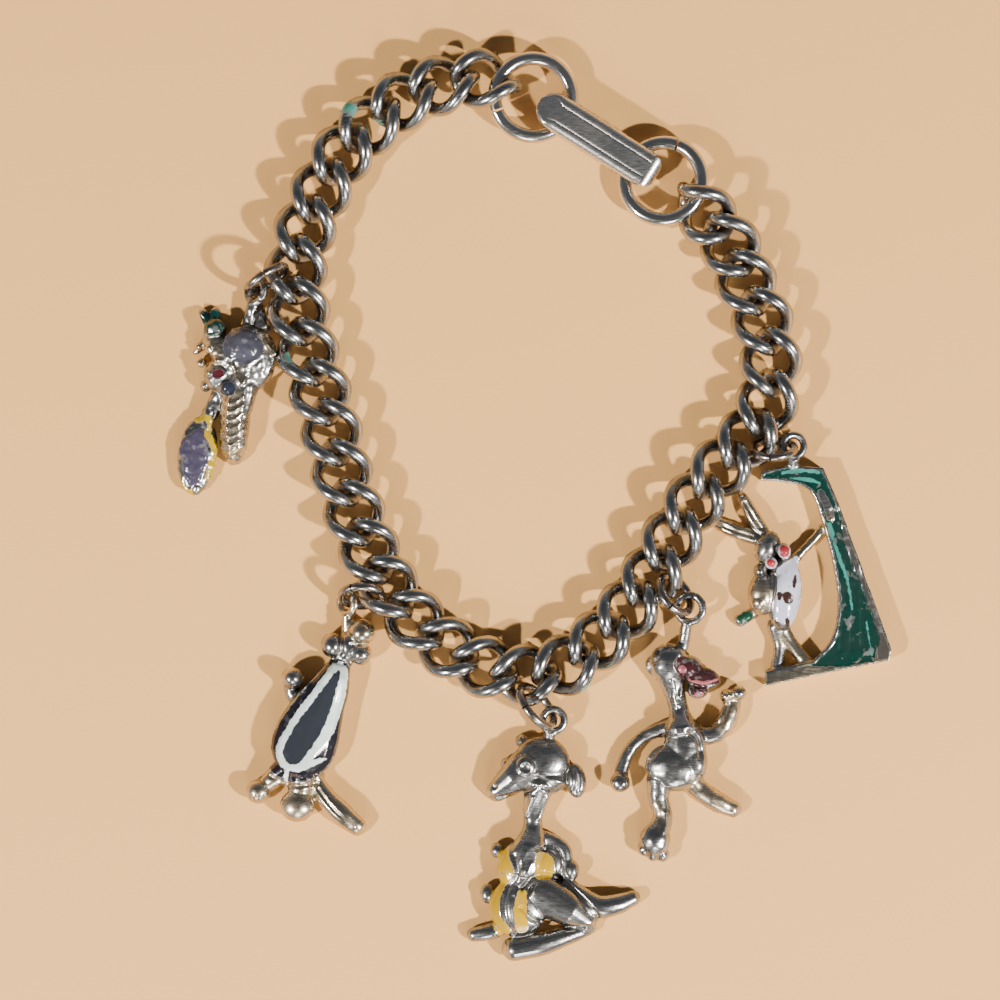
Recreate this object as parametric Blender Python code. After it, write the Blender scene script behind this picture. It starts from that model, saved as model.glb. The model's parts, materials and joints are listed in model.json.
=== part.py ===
"""Charm bracelet: a twisted curb chain, two split rings, a fold-over clasp and five cast animal charms.

It lies on a surface as it is laid down by hand: +Z is up, the surface is z = 0, and the origin is the middle
of the bracelet's plan. Sizes below are in millimetres; the meshes are made in metres.
"""
import bisect
import math

import bmesh
import bpy
from mathutils import Matrix, Vector

MM = 0.001
UP = Vector((0, 0, 1))

# Chain
LINK_COUNT = 34
LINK_WIRE = 1.5
LINK_HALF_WIDTH = 2.7          # from the link's axis to the middle of its wire
LINK_CLEARANCE = 0.48         # between one link's wire and the next where their ends cross
LINK_QUARTER_TURN = 90.0       # twist of a link from one neighbour to the other
LINK_STEPS = 16
LINK_SIDES = 6
ROUTE_SPAN_STEPS = 24          # points of the smooth route between two chosen ones
PITCH_ROUNDS = 4               # the pitch and the length of the end links settle in a few rounds
# The chosen points of the chain's route, from the right ring round the bottom to the left ring
CHAIN_ROUTE = [
    (19.3, 28.3), (21.2, 24.2), (23.0, 20.2), (24.1, 15.7), (23.9, 11.3), (22.1, 7.5), (19.3, 4.4),
    (16.5, 0.9), (13.9, -3.3), (11.5, -7.6), (8.7, -11.6), (5.4, -15.1), (1.7, -17.6), (-2.7, -18.5),
    (-7.0, -17.4), (-10.9, -15.2), (-14.3, -12.2), (-16.8, -8.9), (-18.8, -5.2), (-20.5, -1.0), (-21.9, 3.5),
    (-23.1, 8.3), (-24.5, 13.1), (-25.8, 17.5), (-26.6, 21.9), (-26.6, 25.9), (-25.5, 29.9), (-23.7, 34.0),
    (-21.3, 37.9), (-18.1, 41.0), (-14.5, 43.4), (-10.5, 44.8),
]
# How far single links lie rolled over about the chain's axis: (link number, degrees)
LINK_ROLLS = [
    (1, -30), (3, 0), (6, 0), (8, 12), (10, 0), (17, 0), (19, -14), (21, 0), (30, 0), (32, 18), (34, 24),
]

# The two large split rings
RING_WIRE = 1.5
RING_OUTER_DIAMETER = 9.8
RING_SPLIT = 0.25
RING_STEPS = 22
RING_SIDES = 8
RING_RISE = 1.2                # how much higher the wire lies where the chain holds it
RING_RIGHT_SIDESTEP = 0.0      # how far each ring's centre lies beside the clasp's middle line
RING_LEFT_SIDESTEP = -0.1
RING_RIGHT_HOLD_ANGLE = -34.0  # from a large ring's centre to the point where it holds the chain
RING_LEFT_HOLD_ANGLE = 158.0
RIGHT_END_LINK_ANGLE = -50.0   # direction of the end link, away from its ring
LEFT_END_LINK_ANGLE = 168.0
RING_RIGHT_SPLIT_ANGLE = 68.0
RING_LEFT_SPLIT_ANGLE = 200.0

# Fold-over clasp
HINGE = (10.76, 35.61)         # the pin's middle in plan
CLASP_ANGLE = 147.6            # direction from the hinge to the finger tab
SHEET = 0.4
COVER_WIDTH = 4.05
COVER_REACH = 13.6             # from the pin to the tip of the tab
COVER_CLEARANCE = 0.25         # between the hook's top and the cover
FLANGE_DROP = 1.5
FLANGE_CLEARANCE = 0.35        # along the clasp, from a ring's wire to the end of a flange
EAR_REACH = 0.5                # how far the hinge ears pass the pin's middle, forwards
EAR_BELOW = 0.55               # and how far they reach below and above it
EAR_ABOVE = 0.8
EAR_SPACING = 2.1              # over the outside of both ears
TAB_ROUND = 2.2                # length over which the tab rounds off
TAB_TIP_SHARE = 0.35
TAB_STEPS = 6
BASE_WIDTH = 1.9
BASE_WIDENING = (0.95, 1.5)    # where the base grows from its knuckle's width to its own
HOOK_PITCH = 10.2              # from the pin to the middle of the left ring's wire
PIN_DIAMETER = 0.6
PIN_OVERHANG = 0.1             # how far the pin shows past each ear
HINGE_CLEARANCE = 0.12
RING_SEAT_CLEARANCE = 0.36
PIN_SIDES = 12
CURL_STEP = 30.0               # degrees of a curl for each flat of its sheet

# Jump rings and the charms' own eyes
JUMP_WIRE = 0.9
JUMP_CLEARANCE = 0.17          # between a jump ring and the link's wire that it goes round
JUMP_STEPS = 18
JUMP_SIDES = 6
JUMP_SPLIT = 0.15
JUMP_SPLIT_ANGLE = 250.0
EYE_WIRE = 0.85
EYE_STEPS = 12
EYE_SIDES = 6
SHANK_WIDTH = 1.3              # the cast neck between an eye and its charm
SHANK_FOOT_HEIGHT = 0.85       # of the neck's middle where it enters the charm
# How each jump ring lies on its link: the link, the ring's outer diameter, how far along the link and above
# its middle it passes through, then its turn from square to the chain, its slope and its roll in degrees, and
# the angle round the ring where the charm's eye hangs, with the eye's hole
JUMP_RINGS = [
    dict(link=27, diameter=5.6, along=0.1, above=1.5, turn=41.5, slope=15.3, roll=-77,
         eye_angle=30, eye_hole=1.5),
    dict(link=19, diameter=5.2, along=0.7, above=1.5, turn=-6.0, slope=38.7, roll=-51,
         eye_angle=-3, eye_hole=1.5),
    dict(link=15, diameter=6.0, along=0.4, above=0.9, turn=39.4, slope=3.3, roll=-67,
         eye_angle=20, eye_hole=1.5),
    dict(link=11, diameter=5.3, along=0.35, above=1.3, turn=1.0, slope=28.0, roll=-50,
         eye_angle=-20, eye_hole=2.0),
    dict(link=7, diameter=5.3, along=0.6, above=0.5, turn=42.0, slope=7.0, roll=-65,
         eye_angle=5, eye_hole=1.5),
]

# Charms: each is a casting of rounded forms that lies on the surface. All its numbers but the turns and the
# thicknesses are hundredths of its length, in plan from the middle of its eye. "shank" is where its neck
# ends, a "blob" is (x, y, half width, half height, turn in degrees, share of the casting's thickness), and a
# "limb" is a row of (x, y, half width).
CHARM_THICKNESS = 3.4
BLOB_SIDES = 10
BLOB_RINGS = 6
LIMB_SIDES = 6
LIMB_SPAN_STEPS = 2
# A limb's round end: sections this far past its last one, and their width, in shares of its half width
LIMB_ROUNDING = ((0.5, 0.85), (0.85, 0.5))
PEACOCK = dict(
    length=20.0, shank=(-5, -20),
    blobs=[(-10, -35, 19, 18, -25, 1.0), (-27, -18, 6, 5.5, 0, 0.75), (-31, -88, 11, 22, -8, 0.5)],
    limbs=[
        [(-18, -33, 9), (-24, -25, 6), (-26, -19, 5)],
        [(-29, -18, 3), (-35, -22, 1.4)],
        [(-28, -15, 1.8), (-30, -8, 2.2)],
        [(-25, -15, 1.8), (-23, -8, 2.2)],
        [(-7, -48, 10), (-9, -68, 9), (-11, -87, 7), (-11, -93, 5)],
        [(-15, -48, 6.5), (-22, -62, 5.5), (-28, -75, 5)],
    ],
)
SKUNK = dict(
    length=24.0, shank=(0, -15),
    blobs=[(-21, -60, 17, 20, -16, 1.0), (-1, -19, 8, 9, 0, 0.85), (-40, -85, 5.5, 5.5, 0, 0.6),
           (-25, -91, 7, 6.5, 0, 0.7)],
    limbs=[
        [(-3, -24, 7), (-8, -36, 10), (-15, -49, 15)],
        [(-8, -21, 3), (-11, -23, 2.8)],
        [(5, -16, 3), (8, -14, 2.8)],
        [(-17, -42, 4), (-25, -38, 3.2), (-28, -35, 4)],
        [(-30, -72, 6), (-38, -82, 4)],
        [(-24, -76, 6), (-24, -87, 4.5)],
        [(-17, -79, 3.2), (-10, -87, 4.5), (-2, -95, 6), (5, -102, 3.8)],
    ],
)
GIRAFFE = dict(
    length=25.0, shank=(-3, -12),
    blobs=[(-6, -18, 11.5, 10, 20, 0.85), (-12, -65, 15, 13, 0, 0.95), (-15, -82, 15.5, 12, 10, 1.0),
           (-1, -76, 17, 10, -28, 1.0)],
    limbs=[
        [(-12, -21, 8), (-20, -25, 6.5), (-26, -27, 4.8)],
        [(3, -18, 3.5), (9, -21, 3.9), (12, -24, 2.4)],
        [(-8, -11, 2), (-11, -5, 2)],
        [(-5, -25, 7.3), (-9, -37, 6), (-11, -49, 7.8), (-12, -60, 12)],
        [(-4, -54, 3.9), (5, -58, 3.5), (1, -71, 3)],
        [(14, -83, 5.6), (0, -90, 6), (-15, -96, 6), (-22, -98, 4.3)],
        [(3, -71, 4.3), (13, -78, 5.6), (25, -78, 4.7), (34, -74, 2.8)],
        [(-24, -89, 3), (-31, -92, 3.5), (-37, -92, 3)],
    ],
)
MONKEY = dict(
    length=26.0, shank=(-3, -17),
    blobs=[(-6, -25, 10, 9.5, 0, 0.9), (3, -29, 7, 6, -20, 0.8), (-15, -24, 4, 4.5, 0, 0.55),
           (-8, -60, 13, 15, -18, 1.0)],
    limbs=[
        [(-6, -31, 6), (-5, -43, 6.5), (-7, -52, 9)],
        [(-1, -43, 4), (9, -51, 3.3), (17, -47, 3), (19, -39, 3.3), (17, -35, 3.3)],
        [(-16, -53, 3.3), (-23, -53, 3.3), (-30, -58, 3.3), (-32, -66, 3.3), (-29, -72, 3.6)],
        [(-12, -70, 5.7), (-9, -83, 4), (-10, -92, 4.3), (-14, -100, 5.6)],
        [(-1, -69, 5), (4, -75, 4.5), (12, -79, 5), (19, -83, 3.4)],
    ],
)
HARE = dict(
    length=23.0, shank=(0, -12),
    blobs=[(-8, -70, 10, 20, -8, 1.0), (-16, -74, 7, 10, 0, 0.75), (-13, -49, 6.5, 8, -30, 0.8)],
    limbs=[
        [(-15, -46, 3), (-27, -42, 3.7), (-37, -38, 2.5)],
        [(-13, -44, 3), (-19, -35, 3.7), (-23, -26, 2.5)],
        [(-4, -58, 3), (6, -48, 2.5), (16, -36, 3)],
        [(-6, -85, 4.6), (0, -96, 3.3), (8, -105, 3.3)],
        [(-10, -85, 4.2), (-10, -97, 3), (-9, -107, 3)],
        [(-20, -79, 2.6), (-26, -83, 2.8)],
    ],
)
# The hare's tree and the ground that it stands on: plan points of the inner edge from the branch's tip down
# the trunk, and of the outer edge back up, in hundredths of the charm's length
TREE_INNER_EDGE = [(-15, -16), (-3, -17), (8, -21), (14, -36), (19, -56), (21, -74), (18, -90), (9, -100)]
TREE_OUTER_EDGE = [
    (-13, -105), (-13, -112), (5, -108), (45, -100), (46, -95), (21, -26), (14, -10), (-3, -9), (-15, -12),
]
TREE_THICKNESS = 1.9


def plan(x, y, z=0.0):
    return Vector((x, y, z))


def turned(degrees):
    return Vector((math.cos(math.radians(degrees)), math.sin(math.radians(degrees)), 0))


def material(name, colour, roughness, metallic=1.0):
    made = bpy.data.materials.new(name)
    made.use_nodes = True
    shader = made.node_tree.nodes["Principled BSDF"]
    shader.inputs["Base Color"].default_value = (*colour, 1)
    shader.inputs["Roughness"].default_value = roughness
    shader.inputs["Metallic"].default_value = metallic
    return made


def mesh_of(name, points, faces):
    """A mesh in metres from points in millimetres, with its faces turned outwards."""
    mesh = bpy.data.meshes.new(name)
    bm = bmesh.new()
    verts = [bm.verts.new(Vector(p) * MM) for p in points]
    for face in faces:
        bm.faces.new([verts[i] for i in face])
    bmesh.ops.recalc_face_normals(bm, faces=bm.faces)
    bm.to_mesh(mesh)
    bm.free()
    return mesh


def show(name, mesh, finish, smooth_angle=50):
    piece = bpy.data.objects.new(name, mesh)
    bpy.context.collection.objects.link(piece)
    mesh.materials.clear()
    mesh.materials.append(finish)
    mesh.shade_smooth()
    mesh.set_sharp_from_angle(angle=math.radians(smooth_angle))
    return piece


def move_origin(piece, point):
    """Puts a piece's own origin at a point, without moving the piece."""
    piece.data.transform(Matrix.Translation(-point * MM))
    piece.location = point * MM


def centre_plan():
    """Moves everything together so that the origin is the middle of the plan's box."""
    view = bpy.context.evaluated_depsgraph_get()
    corners = []
    for piece in bpy.data.objects:
        if not piece.hide_render:
            seen = piece.evaluated_get(view)
            corners += [seen.matrix_world @ Vector(corner) for corner in seen.bound_box]
    for axis in (0, 1):
        places = [corner[axis] for corner in corners]
        middle = (min(places) + max(places)) / 2
        for piece in bpy.data.objects:
            piece.location[axis] -= middle


def smooth_route(points, per_span=ROUTE_SPAN_STEPS):
    """Points close together along a Catmull-Rom curve through the given ones."""
    ends = [2 * points[0] - points[1], *points, 2 * points[-1] - points[-2]]
    fine = []
    for a, b, c, d in zip(ends, ends[1:], ends[2:], ends[3:]):
        for i in range(per_span):
            t = i / per_span
            fine.append(0.5 * ((2 * b) + (c - a) * t + (2 * a - 5 * b + 4 * c - d) * t ** 2
                               + (3 * b - a - 3 * c + d) * t ** 3))
    return [*fine, points[-1]]


def table_value(table, key):
    """The value at a key between the rows of a two-column table."""
    keys = [row[0] for row in table]
    right = min(max(bisect.bisect_left(keys, key), 1), len(keys) - 1)
    (k0, v0), (k1, v1) = table[right - 1], table[right]
    return v0 + (v1 - v0) * (key - k0) / (k1 - k0)


def tube_faces(count, sides, closed):
    """Faces between the sections of a tube, with its end faces where it is open."""
    faces = []
    for i in range(count if closed else count - 1):
        after = (i + 1) % count
        for j in range(sides):
            k = (j + 1) % sides
            faces.append((i * sides + j, i * sides + k, after * sides + k, after * sides + j))
    if not closed:
        faces.append(tuple(range(sides)))
        faces.append(tuple((count - 1) * sides + j for j in range(sides)))
    return faces


def tube(path, radius, sides, centre, closed=True):
    """Points and faces of a round wire along a path; its seam line faces away from the centre."""
    points = []
    count = len(path)
    for i, here in enumerate(path):
        before = path[i - 1] if closed or i else here
        after = path[(i + 1) % count] if closed or i < count - 1 else here
        along = (after - before).normalized()
        outward = here - centre
        outward = (outward - outward.dot(along) * along).normalized()
        across = along.cross(outward)
        for j in range(sides):
            angle = 2 * math.pi * j / sides
            points.append(here + radius * (math.cos(angle) * outward + math.sin(angle) * across))
    return points, tube_faces(count, sides, closed)


def split_ring(name, centre, first, second, radius, wire, split, split_angle, steps, sides, finish):
    """A ring of wire in the plane of two unit directions, with its sawn split at the given angle."""
    half_cut = math.degrees(split / 2 / radius)
    path = []
    for i in range(steps + 1):
        angle = math.radians(split_angle + half_cut + (360 - 2 * half_cut) * i / steps)
        path.append(centre + radius * (math.cos(angle) * first + math.sin(angle) * second))
    return show(name, mesh_of(name, *tube(path, wire / 2, sides, centre, closed=False)), finish)


# Clasp frame, large rings and the chain's ends
CLASP_ALONG = turned(CLASP_ANGLE)
CLASP_ACROSS = UP.cross(CLASP_ALONG)
HINGE_PLAN = plan(*HINGE)
RING_RADIUS = (RING_OUTER_DIAMETER - RING_WIRE) / 2
KNUCKLE_RADIUS = PIN_DIAMETER / 2 + HINGE_CLEARANCE + SHEET / 2
KNUCKLE_OUTER = KNUCKLE_RADIUS + SHEET / 2
PIN_HEIGHT = KNUCKLE_OUTER
RIGHT_RING_PITCH = KNUCKLE_OUTER + RING_WIRE / 2 + RING_SEAT_CLEARANCE
HOOK_RADIUS = RING_WIRE / 2 + RING_SEAT_CLEARANCE + SHEET / 2
RING_LIFT = HOOK_RADIUS + SHEET / 2
COVER_PLATE_TOP = RING_LIFT + HOOK_RADIUS + SHEET / 2 + COVER_CLEARANCE + SHEET
COVER_OVERHANG = KNUCKLE_OUTER + HINGE_CLEARANCE + SHEET


def clasp_point(along, across, height):
    return HINGE_PLAN + along * CLASP_ALONG + across * CLASP_ACROSS + height * UP


def ring_centre(pitch, sidestep, inward):
    """Where a large ring's centre lies when its wire crosses the clasp's middle line at the pitch."""
    reach = math.sqrt(RING_RADIUS ** 2 - sidestep ** 2)
    return clasp_point(pitch + inward * reach, sidestep, 0)


RIGHT_CENTRE = ring_centre(RIGHT_RING_PITCH, RING_RIGHT_SIDESTEP, -1)
LEFT_CENTRE = ring_centre(HOOK_PITCH, RING_LEFT_SIDESTEP, 1)


def chain_route():
    """The links' centres, even steps along the smooth route between the two rings, and the pitch."""
    inner = [plan(*point) for point in CHAIN_ROUTE]
    hold = (LINK_WIRE + RING_WIRE) / 2 + LINK_CLEARANCE
    pitch = 0.0
    for _ in range(PITCH_ROUNDS):
        reach = (pitch + LINK_WIRE + LINK_CLEARANCE) / 2 - hold
        right_hold = RIGHT_CENTRE + RING_RADIUS * turned(RING_RIGHT_HOLD_ANGLE)
        left_hold = LEFT_CENTRE + RING_RADIUS * turned(RING_LEFT_HOLD_ANGLE)
        start = right_hold + reach * turned(RIGHT_END_LINK_ANGLE)
        end = left_hold + reach * turned(LEFT_END_LINK_ANGLE)
        fine = smooth_route([start, *inner, end])
        lengths = [0.0]
        for a, b in zip(fine, fine[1:]):
            lengths.append(lengths[-1] + (b - a).length)
        pitch = lengths[-1] / (LINK_COUNT - 1)
    centres = []
    for number in range(LINK_COUNT):
        place = min(number * pitch, lengths[-1])
        right = min(max(bisect.bisect_left(lengths, place), 1), len(fine) - 1)
        share = (place - lengths[right - 1]) / (lengths[right] - lengths[right - 1])
        centres.append(fine[right - 1].lerp(fine[right], share))
    return centres, pitch


LINK_CENTRES, LINK_PITCH = chain_route()
LINK_HALF_LENGTH = (LINK_PITCH + LINK_WIRE + LINK_CLEARANCE) / 2


def link_frame(number):
    """Direction along the chain and the level direction to its outer side, at a link counted from 1."""
    if number == 1:
        along = turned(RIGHT_END_LINK_ANGLE)
    elif number == LINK_COUNT:
        along = -turned(LEFT_END_LINK_ANGLE)
    else:
        along = (LINK_CENTRES[number] - LINK_CENTRES[number - 2]).normalized()
    return along, UP.cross(along)


def link_path(number):
    """The middle line of a link's wire: an oval twisted about the chain's axis, resting on the surface."""
    along, outward = link_frame(number)
    roll = table_value(LINK_ROLLS, number)
    path = []
    for i in range(LINK_STEPS):
        angle = 2 * math.pi * (i + 0.5) / LINK_STEPS
        forward = LINK_HALF_LENGTH * math.cos(angle)
        aside = LINK_HALF_WIDTH * math.sin(angle)
        twist = math.radians(roll + LINK_QUARTER_TURN * forward / LINK_PITCH)
        path.append(forward * along + aside * (math.cos(twist) * outward - math.sin(twist) * UP))
    lift = LINK_WIRE / 2 - min(point.z for point in path)
    return [LINK_CENTRES[number - 1] + lift * UP + point for point in path]


def make_link(number, finish):
    path = link_path(number)
    centre = sum(path, Vector()) / len(path)
    name = f"chain_link_{number:02d}"
    return show(name, mesh_of(name, *tube(path, LINK_WIRE / 2, LINK_SIDES, centre)), finish)


def clasp_ring(name, centre, hold_angle, split_angle, finish):
    """A large split ring, tilted so that its wire is low in the clasp and higher where it holds the chain."""
    towards = turned(hold_angle)
    slope = math.asin(RING_RISE / 2 / RING_RADIUS)
    first = math.cos(slope) * towards + math.sin(slope) * UP
    second = UP.cross(towards)
    middle = centre + (RING_LIFT + RING_RISE / 2) * UP
    return split_ring(name, middle, first, second, RING_RADIUS, RING_WIRE, RING_SPLIT,
                      split_angle - hold_angle, RING_STEPS, RING_SIDES, finish)


def sheet_solid(name, quads, offset, finish):
    """Sheet metal: flat faces folded along shared edges, merged and given the sheet's thickness."""
    mesh = bpy.data.meshes.new(name)
    bm = bmesh.new()
    for quad in quads:
        bm.faces.new([bm.verts.new(point * MM) for point in quad])
    bmesh.ops.remove_doubles(bm, verts=bm.verts, dist=0.001 * MM)
    bmesh.ops.recalc_face_normals(bm, faces=bm.faces)
    bm.faces.ensure_lookup_table()
    if bm.faces[0].normal.z < 0:
        bmesh.ops.reverse_faces(bm, faces=bm.faces)
    bm.to_mesh(mesh)
    bm.free()
    piece = show(name, mesh, finish, smooth_angle=32)
    thick = piece.modifiers.new("thickness", "SOLIDIFY")
    thick.thickness = SHEET * MM
    thick.offset = offset
    thick.use_even_offset = True
    return piece


def strip(quads, stations, first, second):
    """Adds the faces between two lines that run along the clasp through its stations."""
    for a, b in zip(stations, stations[1:]):
        quads.append([clasp_point(a, *first(a)), clasp_point(b, *first(b)),
                      clasp_point(b, *second(b)), clasp_point(a, *second(a))])


def cover_half_width(along):
    """Half the cover's width at the middle of its sheet: straight, then rounding off to the tab's tip."""
    full = COVER_WIDTH / 2
    share = max((along - (COVER_REACH - TAB_ROUND)) / TAB_ROUND, 0.0)
    return full * max(math.sqrt(max(1 - share ** 2, 0.0)), TAB_TIP_SHARE)


def make_clasp_cover(finish):
    """A folded plate with two flanges, a rounded tab, and an end wall whose ears turn forwards to the pin."""
    flange_start = RIGHT_RING_PITCH + RING_WIRE / 2 + FLANGE_CLEARANCE
    flange_end = HOOK_PITCH - RING_WIRE / 2 - FLANGE_CLEARANCE
    rounding = []
    for i in range(TAB_STEPS + 1):
        rounding.append(COVER_REACH - TAB_ROUND * (1 - math.sin(math.pi / 2 * i / TAB_STEPS)))
    end = -COVER_OVERHANG
    stations = [end, flange_start, flange_end, *rounding]
    top = COVER_PLATE_TOP
    full = COVER_WIDTH / 2
    ear = EAR_SPACING / 2
    ear_top = PIN_HEIGHT + EAR_ABOVE
    ear_bottom = PIN_HEIGHT - EAR_BELOW
    quads = []
    for low, high in ((-1, -ear / full), (-ear / full, ear / full), (ear / full, 1)):
        strip(quads, stations,
              lambda a: (low * cover_half_width(a), top), lambda a: (high * cover_half_width(a), top))
    for side in (-1, 1):
        strip(quads, [flange_start, flange_end],
              lambda a: (side * full, top), lambda a: (side * full, top - FLANGE_DROP))
        strip(quads, [end, EAR_REACH],
              lambda a: (side * ear, ear_top), lambda a: (side * ear, ear_bottom))
    for upper, lower in ((top, ear_top), (ear_top, ear_bottom)):
        quads.append([clasp_point(end, -ear, upper), clasp_point(end, ear, upper),
                      clasp_point(end, ear, lower), clasp_point(end, -ear, lower)])
    cover = sheet_solid("clasp_cover", quads, -1, finish)
    drill = cylinder("pin_hole", PIN_DIAMETER / 2 + HINGE_CLEARANCE, COVER_WIDTH, finish)
    drill.hide_render = True
    drill.display_type = "WIRE"
    cut = cover.modifiers.new("pin hole", "BOOLEAN")
    cut.operation = "DIFFERENCE"
    cut.object = drill
    move_origin(cover, clasp_point(0, 0, PIN_HEIGHT))


def cylinder(name, radius, length, finish):
    """A round bar across the clasp, on the hinge's axis."""
    points = []
    for side in (-1, 1):
        for i in range(PIN_SIDES):
            angle = 2 * math.pi * i / PIN_SIDES
            height = PIN_HEIGHT + radius * math.sin(angle)
            points.append(clasp_point(radius * math.cos(angle), side * length / 2, height))
    return show(name, mesh_of(name, points, tube_faces(2, PIN_SIDES, closed=False)), finish)


def arc(centre_along, centre_height, radius, start, sweep):
    """Points of a curl in the clasp's side view, from a start angle through a sweep in degrees."""
    flats = max(1, round(abs(sweep) / CURL_STEP))
    points = []
    for i in range(flats + 1):
        angle = math.radians(start + sweep * i / flats)
        points.append((centre_along + radius * math.cos(angle), centre_height + radius * math.sin(angle)))
    return points


def make_clasp_base(finish):
    """A strip curled up round the pin at one end and hooked back over the left ring's wire at the other."""
    knuckle = arc(0, PIN_HEIGHT, KNUCKLE_RADIUS, 0, 270)
    hook = arc(HOOK_PITCH, RING_LIFT, HOOK_RADIUS, -90, 190)
    middle = [(along, SHEET / 2) for along in BASE_WIDENING]
    side = [*knuckle, *middle, *hook]
    narrow = EAR_SPACING / 2 - SHEET - HINGE_CLEARANCE
    halves = [narrow] * (len(knuckle) + 1) + [BASE_WIDTH / 2] * (len(hook) + 1)
    quads = []
    for (a, za), (b, zb), half_a, half_b in zip(side, side[1:], halves, halves[1:]):
        quads.append([clasp_point(a, -half_a, za), clasp_point(a, half_a, za),
                      clasp_point(b, half_b, zb), clasp_point(b, -half_b, zb)])
    return sheet_solid("clasp_base", quads, 0, finish)


def jump_ring_pose(spec):
    """Centre and two unit directions of a jump ring's circle, from how it lies on its link."""
    along, outward = link_frame(spec["link"])
    path = link_path(spec["link"])
    middle = sum(path, Vector()) / len(path)
    inset = LINK_HALF_WIDTH - (LINK_WIRE + JUMP_WIRE) / 2 - JUMP_CLEARANCE
    near = middle + inset * outward + spec["along"] * along + spec["above"] * UP
    radius = (spec["diameter"] - JUMP_WIRE) / 2
    level = Matrix.Rotation(math.radians(spec["turn"]), 3, "Z") @ outward
    slope = math.radians(spec["slope"])
    first = math.cos(slope) * level - math.sin(slope) * UP
    aside = UP.cross(level)
    raised = first.cross(aside)
    roll = math.radians(spec["roll"])
    second = math.cos(roll) * aside + math.sin(roll) * raised
    return near + radius * first, first, second, radius


def make_jump_ring(number, spec, finish):
    centre, first, second, radius = jump_ring_pose(spec)
    return split_ring(f"jump_ring_{number}", centre, first, second, radius, JUMP_WIRE, JUMP_SPLIT,
                      JUMP_SPLIT_ANGLE, JUMP_STEPS, JUMP_SIDES, finish)


def blob(origin, length, x, y, half_width, half_height, turn, share):
    """A rounded lump that rests on the surface: an ellipsoid turned in plan."""
    unit = length / 100
    rise = share * CHARM_THICKNESS / 2
    across = half_width * unit * turned(turn)
    upward = half_height * unit * turned(turn + 90)
    centre = origin + unit * plan(x, y) + rise * UP
    points = [centre - rise * UP]
    for i in range(1, BLOB_RINGS):
        tilt = math.pi * i / BLOB_RINGS
        for j in range(BLOB_SIDES):
            angle = 2 * math.pi * j / BLOB_SIDES
            level = math.sin(tilt) * (math.cos(angle) * across + math.sin(angle) * upward)
            points.append(centre + level - rise * math.cos(tilt) * UP)
    points.append(centre + rise * UP)
    last = len(points) - 1
    faces = []
    for j in range(BLOB_SIDES):
        k = (j + 1) % BLOB_SIDES
        faces.append((0, 1 + k, 1 + j))
        faces.append((last, last - BLOB_SIDES + j, last - BLOB_SIDES + k))
        for i in range(BLOB_RINGS - 2):
            low = 1 + i * BLOB_SIDES
            faces.append((low + j, low + k, low + BLOB_SIDES + k, low + BLOB_SIDES + j))
    return points, faces


def limb(origin, length, rows):
    """A tapered, round-ended limb that rests on the surface along a smooth route in plan."""
    unit = length / 100
    given = [plan(x, y, half_width) for x, y, half_width in rows]
    route = smooth_route(given, LIMB_SPAN_STEPS)
    start = (route[0] - route[1]).xy.normalized()
    end = (route[-1] - route[-2]).xy.normalized()
    first_width = rows[0][2]
    last_width = rows[-1][2]
    sections = []
    for past, width in reversed(LIMB_ROUNDING):
        sections.append((route[0].xy + past * first_width * start, width * first_width))
    sections += [(point.xy, point.z) for point in route]
    for past, width in LIMB_ROUNDING:
        sections.append((route[-1].xy + past * last_width * end, width * last_width))
    points = []
    for i, (place, half_width) in enumerate(sections):
        before = sections[max(i - 1, 0)][0]
        after = sections[min(i + 1, len(sections) - 1)][0]
        along = (after - before).normalized()
        across = Vector((-along.y, along.x, 0)) * half_width * unit
        rise = min(half_width * unit, CHARM_THICKNESS / 2)
        middle = origin + unit * plan(*place) + rise * UP
        for j in range(LIMB_SIDES):
            angle = 2 * math.pi * j / LIMB_SIDES
            points.append(middle + math.cos(angle) * across + math.sin(angle) * rise * UP)
    return points, tube_faces(len(sections), LIMB_SIDES, closed=False)


def slab(origin, length, outline, thickness):
    """A flat plate that rests on the surface, from its outline in plan."""
    unit = length / 100
    count = len(outline)
    points = [origin + unit * plan(x, y) + z * UP for z in (0, thickness) for x, y in outline]
    faces = [tuple(range(count)), tuple(range(count, 2 * count))]
    faces += [(i, (i + 1) % count, count + (i + 1) % count, count + i) for i in range(count)]
    return points, faces


def tree_outline():
    """The tree and its ground as one outline, smooth along the inner edge."""
    inner = smooth_route([plan(*point) for point in TREE_INNER_EDGE], LIMB_SPAN_STEPS)
    return [(point.x, point.y) for point in inner] + TREE_OUTER_EDGE


def eye_and_shank(spec, shank, length):
    """A charm's own ring, threaded on its jump ring, with the neck that joins it to the charm."""
    centre, first, second, radius = jump_ring_pose(spec)
    angle = math.radians(spec["eye_angle"])
    middle = centre + radius * (math.cos(angle) * first + math.sin(angle) * second)
    threaded = math.cos(angle) * second - math.sin(angle) * first
    to_charm = plan(*shank).normalized()
    normal = (threaded - threaded.dot(to_charm) * to_charm).normalized()
    aside = normal.cross(to_charm)
    eye_radius = (spec["eye_hole"] + EYE_WIRE) / 2
    path = []
    for i in range(EYE_STEPS):
        turn = 2 * math.pi * i / EYE_STEPS
        path.append(middle + eye_radius * (math.cos(turn) * to_charm + math.sin(turn) * aside))
    ring = tube(path, EYE_WIRE / 2, EYE_SIDES, middle)
    origin = plan(middle.x, middle.y)
    top = middle + eye_radius * to_charm
    foot = origin + length / 100 * plan(*shank) + SHANK_FOOT_HEIGHT * UP
    neck = tube([top, foot], SHANK_WIDTH / 2, EYE_SIDES, top - UP, closed=False)
    return origin, ring, neck


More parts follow.
